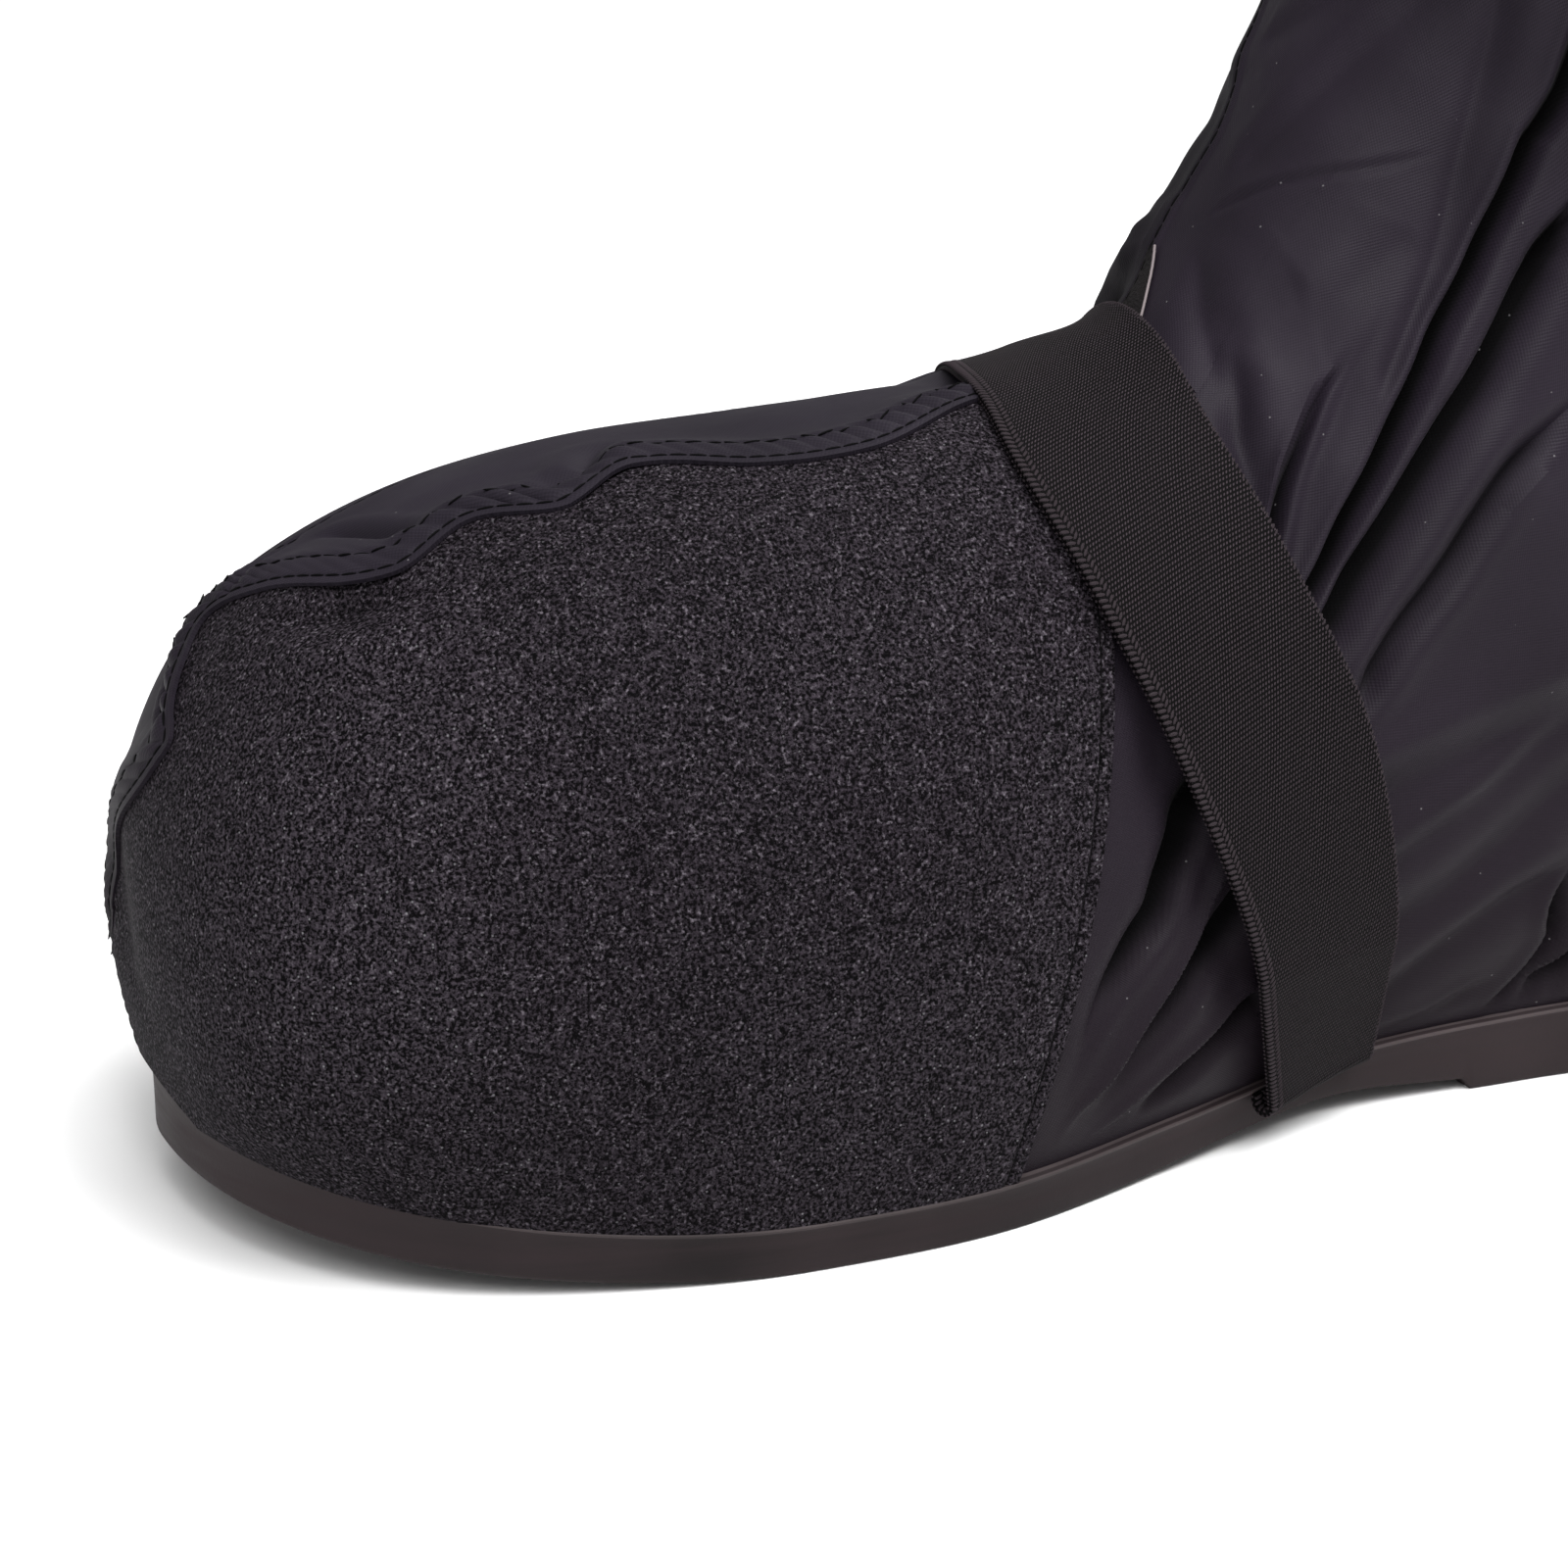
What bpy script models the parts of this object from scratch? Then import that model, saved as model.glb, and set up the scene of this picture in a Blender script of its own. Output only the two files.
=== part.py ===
"""Left rain overshoe: rubber outsole, nylon upper with shaft, toe panels, vamp strip, instep strap, front flap.

Tables and shape functions are in millimetres, with x from the heel end to the toe, +y to the outer (lateral)
side and z up from the floor. Meshes are made in metres under one empty that centres the shoe on the origin.
"""
import bmesh
import bpy
import numpy as np

MM = 0.001
PART_NAME = "overshoe"

# Driving sizes, in millimetres
SOLE_LENGTH = 315.0
TOE_ROUND_FROM = 0.735 * SOLE_LENGTH
TOE_POWER = 2.32
TOE_TIP_Y = -18.5
TOE_CURVE_FROM = 0.55 * SOLE_LENGTH
TOE_CURVE_POWER = 1.5
HEEL_ROUND = 38.0
HEEL_POWER = 2.3
TOE_SPRING = 10.3
TOE_SPRING_FROM = 0.72 * SOLE_LENGTH
HEEL_BREAST = 0.312 * SOLE_LENGTH
SOLE_CHAMFER = 0.8
SOLE_STATIONS = 40
CENTRE_X = 156.6
CENTRE_Y = -2.3

GROOVE_WIDTH = 4.0
GROOVE_DEPTH = 2.2
GROOVE_RIM = 7.0
GROOVE_PITCH = 11.0
FOREFOOT_GROOVES = (185.0, 10)
HEEL_GROOVES = (14.0, 8)

WALL = 1.2
FEATHER_INSET = 1.0
SEAT_GAP = 0.3
RINGS_PER_SECTION = 2
ARC_SAMPLES = 48
MEDIAL_COLUMNS = 14
STRIP_COLUMNS = 4
LATERAL_COLUMNS = 14

PANEL_THICKNESS = 0.8
PANEL_BASE = 0.985
PANEL_EDGE_GAP = 0.003
SEAM_AT_RIDGE = 10.3
SEAM_LEAN = 2.35
PANEL_START_LATERAL = 0.1
PANEL_START_MEDIAL = 1.0

STRIP_THICKNESS = 1.4
STRIP_START = 0.15
STRIP_END = 11.0

STRAP_THICKNESS = 1.2
STRAP_LANES = 4
STRAP_STEPS = 34
STRAP_BASE = 0.93
FOLD_STAND = 3.0
FOLD_RETURN = 0.9
FOLD_DROP = 3.0
FOLD_ARC_STEPS = 4

FLAP_THICKNESS = 0.8
FLAP_START = 12.2
FLAP_END_GAP = 0.05
FLAP_COLUMNS = STRIP_COLUMNS
TAPE_THICKNESS = 1.1
TAPE_EDGE = -0.050
TAPE_END = 12.95
TAPE_CLEARANCE = 0.008

# Sole outline: half widths to each side of the straight axis, by station along the length
OUTLINE_COLUMNS = ("station", "lateral", "medial")
OUTLINE = (
    (0.00, 36.0, 36.0),
    (0.06, 38.0, 38.0),
    (0.16, 40.5, 40.0),
    (0.28, 37.0, 38.0),
    (0.40, 36.0, 36.5),
    (0.52, 44.0, 41.0),
    (0.64, 52.0, 49.0),
    (0.74, 51.5, 54.0),
    (0.84, 48.0, 55.0),
    (1.00, 46.0, 52.0),
)

# Sole heights without the toe spring, by station: underside ahead of the heel breast, and top edge
HEIGHT_COLUMNS = ("station", "underside", "top")
HEIGHTS = (
    (0.000, 2.0, 14.5),
    (0.250, 2.0, 13.3),
    (0.312, 2.0, 12.8),
    (0.400, 3.8, 11.6),
    (0.480, 2.8, 10.2),
    (0.560, 0.6, 9.0),
    (0.620, 0.0, 8.5),
    (0.720, 0.0, 8.4),
    (0.860, 0.0, 9.0),
    (1.000, 0.0, 10.5),
)

# Foot sections from toe to heel: where the section meets the sole edge, its ridge point, its half width,
# how far up it is widest, the roundness of its crown and how round its lower wall is
FOOT_COLUMNS = ("foot_x", "ridge_x", "ridge_z", "half_width", "widest", "crown", "base_round")
FOOT_SECTIONS = (
    (313.0, 314.4, 18.0, 14.5, 0.05, 2.0, 1.00),
    (309.0, 316.6, 37.0, 27.0, 0.40, 2.0, 1.00),
    (302.0, 316.8, 55.0, 37.0, 0.40, 2.0, 1.00),
    (292.0, 313.2, 73.0, 44.5, 0.40, 2.1, 1.00),
    (279.0, 303.8, 91.0, 49.5, 0.38, 2.2, 1.00),
    (262.0, 290.0, 103.5, 53.0, 0.37, 2.3, 1.00),
    (242.0, 269.0, 113.5, 55.0, 0.37, 2.3, 1.00),
    (220.0, 244.0, 119.3, 56.0, 0.36, 2.3, 1.00),
    (196.0, 217.0, 121.8, 55.0, 0.36, 2.3, 1.00),
    (172.0, 192.0, 123.6, 53.0, 0.36, 2.3, 1.00),
    (150.0, 173.0, 125.2, 51.0, 0.37, 2.3, 1.00),
    (135.0, 161.5, 128.0, 49.5, 0.38, 2.3, 1.00),
    (118.0, 151.5, 133.5, 48.5, 0.40, 2.3, 1.00),
    (96.0, 143.0, 145.0, 48.5, 0.42, 2.2, 1.00),
    (72.0, 137.0, 154.2, 48.0, 0.44, 2.2, 1.05),
    (48.0, 131.5, 163.0, 47.5, 0.46, 2.2, 1.15),
    (28.0, 126.0, 172.4, 47.0, 0.47, 2.2, 1.30),
    (13.0, 121.0, 181.6, 47.0, 0.48, 2.2, 1.60),
    (4.0, 117.2, 191.0, 47.0, 0.48, 2.2, 2.20),
)

# Shaft rings from the heel up to the collar: back and front points, then the same shape columns
SHAFT_COLUMNS = ("back_x", "back_z", "front_x", "front_z", "half_width", "widest", "crown", "base_round")
SHAFT_SECTIONS = (
    (0.2, 15.4, 114.0, 202.0, 47.5, 0.49, 2.2, 2.4),
    (-4.0, 36.0, 111.8, 213.5, 48.5, 0.50, 2.2, 2.4),
    (-5.0, 70.0, 110.2, 228.0, 49.5, 0.50, 2.2, 2.3),
    (-2.5, 115.0, 109.4, 245.0, 50.0, 0.50, 2.2, 2.2),
    (0.0, 165.0, 109.0, 265.0, 50.5, 0.50, 2.2, 2.2),
    (1.0, 220.0, 109.0, 287.0, 51.0, 0.50, 2.2, 2.2),
    (1.0, 278.0, 109.0, 311.0, 51.5, 0.50, 2.2, 2.2),
    (1.0, 336.0, 109.0, 336.0, 52.0, 0.50, 2.2, 2.2),
)

# Seam lines along the top, by section number: the vamp strip's two edges, which run on as the flap's edge
# up the shaft. A place across a section runs from -1 at the medial base over 0 at the ridge to 1 lateral.
SEAM_COLUMNS = ("section", "lateral", "medial")
SEAMS = (
    (0.0, -0.42, -0.78),
    (1.0, -0.40, -0.74),
    (1.9, -0.21, -0.58),
    (2.8, 0.04, -0.36),
    (3.5, 0.04, -0.25),
    (4.2, 0.02, -0.19),
    (5.3, 0.15, -0.13),
    (6.5, 0.15, -0.14),
    (8.3, 0.15, -0.14),
    (9.2, 0.11, -0.14),
    (11.2, 0.12, -0.12),
    (12.1, 0.15, 0.02),
    (13.0, 0.13, -0.02),
    (14.0, 0.12, -0.04),
    (26.0, 0.12, -0.04),
)

# Instep strap, by place across the foot: section numbers of its front and rear edge, and its stand-off
STRAP_COLUMNS = ("place", "front", "rear", "stand_off")
STRAP = (
    (0.00, 9.25, 12.05, 3.0),
    (0.20, 9.10, 11.50, 3.0),
    (0.35, 9.20, 11.60, 3.2),
    (0.55, 9.50, 11.95, 4.2),
    (0.75, 9.85, 11.90, 5.0),
    (1.00, 10.20, 11.70, 4.0),
)

# Materials: base colour, roughness
RUBBER = ("black_rubber", (0.036, 0.030, 0.032), 0.62)
NYLON = ("black_nylon", (0.038, 0.032, 0.041), 0.48)
GRIP_SHEET = ("grip_textured_sheet", (0.026, 0.022, 0.028), 0.70)
ELASTIC = ("black_elastic", (0.020, 0.017, 0.019), 0.85)
HOOK_TAPE = ("black_hook_tape", (0.045, 0.040, 0.042), 0.90)


# Tables and shape functions

def column(table, names, name):
    """One named column of a table as an array."""
    return np.array([row[names.index(name)] for row in table], float)


def smooth(x, xs, ys):
    """Cubic curve through the table values ys at xs."""
    x = np.clip(np.asarray(x, float), xs[0], xs[-1])
    slope = np.gradient(ys, xs)
    i = np.clip(np.searchsorted(xs, x, side="right") - 1, 0, len(xs) - 2)
    step = xs[i + 1] - xs[i]
    u = (x - xs[i]) / step
    start = (1 + 2 * u) * (1 - u) ** 2 * ys[i] + u * (1 - u) ** 2 * step * slope[i]
    end = u * u * (3 - 2 * u) * ys[i + 1] + u * u * (u - 1) * step * slope[i + 1]
    return start + end


def rounded(fraction, power):
    """Height of a unit superellipse quarter at a fraction of its length."""
    return (1 - np.clip(fraction, 0, 1) ** power) ** (1 / power)


def centre_y(x):
    """Sideways curve of the foot's middle line: it swings to the inner side at the toe."""
    return TOE_TIP_Y * np.clip((x - TOE_CURVE_FROM) / (SOLE_LENGTH - TOE_CURVE_FROM), 0, 1) ** TOE_CURVE_POWER


def sole_sides(x):
    """Lateral and medial edge of the sole outline at station x."""
    x = np.clip(np.asarray(x, float), 0, SOLE_LENGTH)
    station = column(OUTLINE, OUTLINE_COLUMNS, "station")
    toe = rounded((x - TOE_ROUND_FROM) / (SOLE_LENGTH - TOE_ROUND_FROM), TOE_POWER)
    heel = rounded((HEEL_ROUND - x) / HEEL_ROUND, HEEL_POWER)
    middle = centre_y(x)
    lateral = smooth(x / SOLE_LENGTH, station, column(OUTLINE, OUTLINE_COLUMNS, "lateral"))
    medial = smooth(x / SOLE_LENGTH, station, column(OUTLINE, OUTLINE_COLUMNS, "medial"))
    return middle + (lateral - middle) * toe * heel, middle - (medial + middle) * toe * heel


def toe_spring(x):
    """Lift of the sole toward the toe tip."""
    return TOE_SPRING * np.clip((x - TOE_SPRING_FROM) / (SOLE_LENGTH - TOE_SPRING_FROM), 0, 1) ** 2


def sole_top(x):
    """Height of the sole's top edge."""
    station = column(HEIGHTS, HEIGHT_COLUMNS, "station")
    return toe_spring(x) + smooth(np.asarray(x) / SOLE_LENGTH, station, column(HEIGHTS, HEIGHT_COLUMNS, "top"))


def sole_underside(x):
    """Height of the sole's underside: flat heel, arch, flat ball and toe spring."""
    station = column(HEIGHTS, HEIGHT_COLUMNS, "station")
    waist = smooth(np.asarray(x) / SOLE_LENGTH, station, column(HEIGHTS, HEIGHT_COLUMNS, "underside"))
    return toe_spring(x) + np.where(np.asarray(x) > HEEL_BREAST, np.maximum(waist, 0), 0)


def section_table():
    """Foot and shaft rows under common columns: base, ridge and shape."""
    foot = np.array(FOOT_SECTIONS)
    shaft = np.array(SHAFT_SECTIONS)
    base_x = np.r_[foot[:, 0], shaft[:, 0]]
    base_z = np.r_[sole_top(foot[:, 0]) + SEAT_GAP, shaft[:, 1]]
    ridge_x = np.r_[foot[:, 1], shaft[:, 2]]
    ridge_z = np.r_[foot[:, 2], shaft[:, 3]]
    ridge_z[0] = sole_top(ridge_x[0]) + SEAT_GAP
    shape = np.r_[foot[:, 3:], shaft[:, 4:]]
    return np.c_[base_x, base_z, ridge_x, ridge_z, shape]


SECTION_TABLE = section_table()
SECTION_NUMBERS = np.arange(len(SECTION_TABLE), dtype=float)
LAST_FOOT = len(FOOT_SECTIONS) - 1
SHAFT_FROM = LAST_FOOT + 3.0
COLLAR = float(len(SECTION_TABLE) - 1)


def half_sections(number):
    """Both halves of the section at a number, each as points from ridge to base and their lengths."""
    row = [float(smooth(number, SECTION_NUMBERS, values)) for values in SECTION_TABLE.T]
    base_x, base_z, ridge_x, ridge_z, half_width, widest, crown, base_round = row
    base_half, middle = 0.0, 0.0
    if number < LAST_FOOT + 1:
        lateral, medial = sole_sides(max(base_x, 0.0))
        closing = min(1.0, LAST_FOOT + 1 - number)
        base_half = max((lateral - medial) / 2 - FEATHER_INSET, 0.0) * closing
        middle = (lateral + medial) / 2 * closing
        base_z = max(float(sole_top(base_x)) + SEAT_GAP, base_z if number > LAST_FOOT else 0.0)
    angle = np.linspace(0, np.pi / 2, ARC_SAMPLES)
    down = np.sin(angle)[1:]
    rise = np.r_[widest + (1 - widest) * np.cos(angle) ** (2 / crown), widest * (1 - down)]
    lower = base_half + (half_width - base_half) * (1 - down ** 2) ** (1 / base_round)
    width = np.r_[half_width * np.sin(angle) ** (2 / crown), lower]
    x = base_x + (ridge_x - base_x) * rise
    z = base_z + (ridge_z - base_z) * rise
    y = middle * (1 - rise) + float(centre_y(ridge_x)) * rise
    halves = {}
    for side in (1, -1):
        points = np.c_[x, y + side * width, z]
        steps = np.linalg.norm(np.diff(points, axis=0), axis=1)
        halves[side] = (points, np.r_[0, np.cumsum(steps)])
    return halves


def skin(numbers, places):
    """Points of the upper's outer face at section numbers and places across."""
    numbers, places = np.broadcast_arrays(np.asarray(numbers, float), np.asarray(places, float))
    numbers = np.clip(numbers, 0, COLLAR)
    points = np.zeros(numbers.shape + (3,))
    known = {}
    for index in np.ndindex(numbers.shape):
        number = numbers[index]
        if number not in known:
            known[number] = half_sections(number)
        curve, lengths = known[number][1 if places[index] >= 0 else -1]
        along = min(abs(places[index]), 1.0) * lengths[-1]
        points[index] = [np.interp(along, lengths, curve[:, axis]) for axis in range(3)]
    return points


def skin_normals(numbers, places):
    """Outward unit normals of the upper's outer face."""
    number_step, place_step = 0.05, 0.01
    across = skin(numbers, np.minimum(places + place_step, 1)) - skin(numbers, np.maximum(places - place_step, -1))
    along = skin(numbers + number_step, places) - skin(numbers - number_step, places)
    normal = np.cross(across, along)
    return normal / np.linalg.norm(normal, axis=-1, keepdims=True)


def lifted_skin(numbers, places, lift):
    """Points at a height over the upper's outer face."""
    numbers, places = np.broadcast_arrays(np.asarray(numbers, float), np.asarray(places, float))
    lift = np.broadcast_to(np.asarray(lift, float), numbers.shape)
    return skin(numbers, places) + skin_normals(numbers, places) * lift[..., None]


def seam_places(numbers):
    """Lateral and medial seam line at section numbers."""
    section = column(SEAMS, SEAM_COLUMNS, "section")
    lateral = smooth(numbers, section, column(SEAMS, SEAM_COLUMNS, "lateral"))
    medial = smooth(numbers, section, column(SEAMS, SEAM_COLUMNS, "medial"))
    return lateral, medial


def ring_numbers(start, end):
    """Section numbers of the upper's rings from start to end, with both ends."""
    foot_rings = np.arange(0, SHAFT_FROM, 1 / RINGS_PER_SECTION)
    rings = np.r_[foot_rings, np.arange(SHAFT_FROM, COLLAR + 0.5)]
    return np.r_[start, rings[(rings > start + 0.1) & (rings < end - 0.1)], end]


def panel_end(places):
    """Section number of the toe panel's rear seam, which leans back as it rises."""
    return SEAM_AT_RIDGE - SEAM_LEAN * np.abs(places)


# Scene helpers

def clear_scene():
    """Remove every object of the open scene."""
    for old in list(bpy.data.objects):
        bpy.data.objects.remove(old, do_unlink=True)


def make_collection(name, hidden=False):
    """New collection in the scene."""
    collection = bpy.data.collections.new(name)
    bpy.context.scene.collection.children.link(collection)
    collection.hide_render = hidden
    return collection


def make_material(name, colour, roughness):
    """Principled material of one colour."""
    material = bpy.data.materials.new(name)
    material.use_nodes = True
    shader = material.node_tree.nodes["Principled BSDF"]
    shader.inputs["Base Color"].default_value = (*colour, 1)
    shader.inputs["Roughness"].default_value = roughness
    shader.inputs["Metallic"].default_value = 0
    return material


def grid_object(name, points, material):
    """Sheet object from a grid of points in millimetres; points that coincide are welded."""
    rows, columns = points.shape[:2]
    bm = bmesh.new()
    verts = [[bm.verts.new(points[i, j] * MM) for j in range(columns)] for i in range(rows)]
    for i in range(rows - 1):
        for j in range(columns - 1):
            bm.faces.new((verts[i][j], verts[i][j + 1], verts[i + 1][j + 1], verts[i + 1][j]))
    bmesh.ops.remove_doubles(bm, verts=bm.verts, dist=0.01 * MM)
    return finish_object(name, bm, material)


def finish_object(name, bm, material):
    """Object from a bmesh, in the part's collection and under the part's empty."""
    mesh = bpy.data.meshes.new(name)
    bm.to_mesh(mesh)
    bm.free()
    made = bpy.data.objects.new(name, mesh)
    made.data.materials.append(MATERIALS[material[0]])
    made.parent = FRAME
    PARTS.objects.link(made)
    return made


def add_thickness(made, thickness, side):
    """Solidify a sheet: side -1 grows inward, 1 outward and 0 to both sides."""
    solidify = made.modifiers.new("thickness", "SOLIDIFY")
    solidify.thickness = thickness * MM
    solidify.offset = side
    solidify.use_even_offset = True


# Sub-parts

def sole_ring(x):
    """Cross section of the sole at station x, from the lateral underside round to the medial one."""
    lateral, medial = sole_sides(x)
    top, bottom = float(sole_top(x)), float(sole_underside(x))
    inset = min(SOLE_CHAMFER, 0.3 * (lateral - medial))
    right = ((lateral - inset, bottom), (lateral, bottom + SOLE_CHAMFER))
    left = ((medial, bottom + SOLE_CHAMFER), (medial + inset, bottom))
    upper_edge = ((lateral, top - SOLE_CHAMFER), (lateral - inset, top))
    far_edge = ((medial + inset, top), (medial, top - SOLE_CHAMFER))
    return [(x, y, z) for y, z in right + upper_edge + far_edge + left]


def groove_stations():
    """Stations of the cross grooves under forefoot and heel."""
    stations = []
    for first, count in (FOREFOOT_GROOVES, HEEL_GROOVES):
        stations += [first + GROOVE_PITCH * i for i in range(count)]
    return stations


def make_outsole():
    """Rubber sole: lofted cross sections, with cross grooves cut between the bars underneath."""
    turn = np.linspace(0, np.pi, SOLE_STATIONS + 1)[1:-1]
    stations = list(SOLE_LENGTH * (1 - np.cos(turn)) / 2)
    stations += [HEEL_BREAST - 0.5, HEEL_BREAST + 2.0]
    rings = [sole_ring(x) for x in sorted(stations)]
    bm = bmesh.new()
    loops = [[bm.verts.new(np.array(point) * MM) for point in ring] for ring in rings]
    for first, second in zip(loops, loops[1:]):
        for j in range(len(first)):
            after = (j + 1) % len(first)
            bm.faces.new((first[j], second[j], second[after], first[after]))
    bm.faces.new(loops[0])
    bm.faces.new(loops[-1][::-1])
    bmesh.ops.recalc_face_normals(bm, faces=bm.faces)
    sole = finish_object("outsole", bm, RUBBER)
    cut = sole.modifiers.new("cross_grooves", "BOOLEAN")
    cut.operation = "DIFFERENCE"
    cut.solver = "EXACT"
    cut.object = make_groove_cutter()
    return sole


def make_groove_cutter():
    """One mesh of boxes, a box for each groove, that stay a rim's width inside the outline."""
    bm = bmesh.new()
    for x in groove_stations():
        lateral, medial = sole_sides(x)
        size = (GROOVE_WIDTH, lateral - medial - 2 * GROOVE_RIM, 2 * GROOVE_DEPTH)
        place = (x, (lateral + medial) / 2, float(sole_underside(x)))
        box = bmesh.ops.create_cube(bm, size=1.0)["verts"]
        bmesh.ops.scale(bm, verts=box, vec=np.array(size) * MM)
        bmesh.ops.translate(bm, verts=box, vec=np.array(place) * MM)
    mesh = bpy.data.meshes.new("groove_cutter")
    bm.to_mesh(mesh)
    bm.free()
    cutter = bpy.data.objects.new("groove_cutter", mesh)
    cutter.parent = FRAME
    cutter.display_type = "WIRE"
    cutter.hide_render = True
    CUTTERS.objects.link(cutter)
    return cutter


def upper_places(numbers):
    """Places across for every column of the upper: its columns follow the two seam lines."""
    lateral, medial = seam_places(numbers)
    ends = (np.full_like(lateral, -1.0), medial, lateral, np.full_like(lateral, 1.0))
    counts = (MEDIAL_COLUMNS, STRIP_COLUMNS, LATERAL_COLUMNS)
    spans = []
    for first, last, count in zip(ends, ends[1:], counts):
        share = np.arange(count) / count
        spans.append(first[:, None] + (last - first)[:, None] * share)
    return np.hstack(spans + [ends[-1][:, None]])


def make_upper():
    """Foot and shaft as one thin shell, open along the sole edge and at the collar."""
    numbers = ring_numbers(0, COLLAR)
    points = skin(numbers[:, None], upper_places(numbers))
    upper = grid_object("upper", points, NYLON)
    add_thickness(upper, WALL, -1)
    return upper


def make_toe_panel(name, side, start):
    """Grip sheet over one side of the toe, from the vamp strip down to the sole edge."""
    seam = 0 if side > 0 else 1
    count = LATERAL_COLUMNS if side > 0 else MEDIAL_COLUMNS
    across = np.linspace(0, 1, count + 1)
    ridge_place = seam_places(np.array([SEAM_AT_RIDGE]))[seam][0]
    end = panel_end(ridge_place + (side - ridge_place) * across)
    numbers = np.minimum(ring_numbers(start, end.max())[:, None], end)
    edge = seam_places(numbers)[seam] + side * PANEL_EDGE_GAP
    places = edge + (side * PANEL_BASE - edge) * across
    if side < 0:
        numbers, places = numbers[:, ::-1], places[:, ::-1]
    panel = grid_object(name, lifted_skin(numbers, places, SEAT_GAP), GRIP_SHEET)
    add_thickness(panel, PANEL_THICKNESS, 1)
    return panel


def make_vamp_strip():
    """Smooth strip between the two seam lines, from the sole edge at the toe to under the strap."""
    numbers = ring_numbers(STRIP_START, STRIP_END)
    places = upper_places(numbers)[:, MEDIAL_COLUMNS:MEDIAL_COLUMNS + STRIP_COLUMNS + 1]
    strip = grid_object("vamp_strip", lifted_skin(numbers[:, None], places, SEAT_GAP), NYLON)
    add_thickness(strip, STRIP_THICKNESS, 1)
    return strip


def strap_lane(share):
    """Middle line of the strap for one lane, from the lateral fold over the foot to the medial fold."""
    place = column(STRAP, STRAP_COLUMNS, "place")
    across = np.linspace(STRAP_BASE, -STRAP_BASE, STRAP_STEPS + 1)
    front = smooth(np.abs(across), place, column(STRAP, STRAP_COLUMNS, "front"))
    rear = smooth(np.abs(across), place, column(STRAP, STRAP_COLUMNS, "rear"))
    stand_off = smooth(np.abs(across), place, column(STRAP, STRAP_COLUMNS, "stand_off"))
    over = lifted_skin(front + (rear - front) * share, across, stand_off)
    number = STRAP[-1][1] + (STRAP[-1][2] - STRAP[-1][1]) * share
    base_x = float(smooth(number, SECTION_NUMBERS, SECTION_TABLE[:, 0]))
    return np.vstack([strap_fold(base_x, 0)[::-1], over, strap_fold(base_x, 1)])


def strap_fold(x, side):
    """Folded strap end against the sole's side wall: down, round the fold and up again inside."""
    reach = 2.0
    ahead, behind = sole_sides(x + reach)[side], sole_sides(x - reach)[side]
    outward = np.array([behind - ahead, 2 * reach]) / np.hypot(behind - ahead, 2 * reach)
    if side == 1:
        outward = -outward
    radius = (FOLD_STAND - FOLD_RETURN) / 2
    turn = np.linspace(0, np.pi, FOLD_ARC_STEPS + 1)
    out = np.r_[FOLD_STAND, FOLD_RETURN + radius + radius * np.cos(turn), FOLD_RETURN]
    height = np.r_[1.5, -FOLD_DROP - radius * np.sin(turn), -1.0]
    edge = np.array([x, sole_sides(x)[side]])
    plan = edge + out[:, None] * outward
    return np.c_[plan, float(sole_top(x)) + height]


def make_instep_strap():
    """Elastic band over the instep with a folded end at each sole edge."""
    lanes = [strap_lane(share) for share in np.linspace(0, 1, STRAP_LANES + 1)]
    strap = grid_object("instep_strap", np.array(lanes), ELASTIC)
    add_thickness(strap, STRAP_THICKNESS, 0)
    return strap


def make_front_flap():
    """Overlapping front edge of the shaft, from the strap up to the collar."""
    numbers = ring_numbers(FLAP_START, COLLAR - FLAP_END_GAP)
    places = upper_places(numbers)[:, MEDIAL_COLUMNS:MEDIAL_COLUMNS + FLAP_COLUMNS + 1]
    flap = grid_object("front_flap", lifted_skin(numbers[:, None], places, SEAT_GAP), NYLON)
    add_thickness(flap, FLAP_THICKNESS, 1)
    return flap


def make_hook_tape():
    """Small piece of tape that shows beside the lower end of the flap."""
    numbers = np.linspace(FLAP_START, TAPE_END, 5)
    edge = seam_places(numbers)[1] - TAPE_CLEARANCE
    places = TAPE_EDGE + (edge - TAPE_EDGE)[:, None] * np.linspace(0, 1, 4)
    tape = grid_object("hook_tape", lifted_skin(numbers[:, None], places, SEAT_GAP), HOOK_TAPE)
    add_thickness(tape, TAPE_THICKNESS, 1)
    return tape


clear_scene()
PARTS = make_collection(PART_NAME)
CUTTERS = make_collection("cutters", hidden=True)
MATERIALS = {spec[0]: make_material(*spec) for spec in (RUBBER, NYLON, GRIP_SHEET, ELASTIC, HOOK_TAPE)}
FRAME = bpy.data.objects.new("overshoe_frame", None)
FRAME.location = (-CENTRE_X * MM, -CENTRE_Y * MM, 0)
PARTS.objects.link(FRAME)

make_outsole()
make_upper()
make_toe_panel("toe_panel_lateral", 1, PANEL_START_LATERAL)
make_toe_panel("toe_panel_medial", -1, PANEL_START_MEDIAL)
make_vamp_strip()
make_instep_strap()
make_front_flap()
make_hook_tape()
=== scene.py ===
# %% [markdown]
# # A black rain overshoe
# A rain overshoe is a thin waterproof shell that a rider pulls over a boot. This lesson dresses the plain
# CAD model: every visible piece is laid again on the same shoe form, with folds, stitches, weave and
# rubber. The CAD model comes first, because its pieces give the size and the place of everything that
# follows.

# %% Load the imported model
import math

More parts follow.
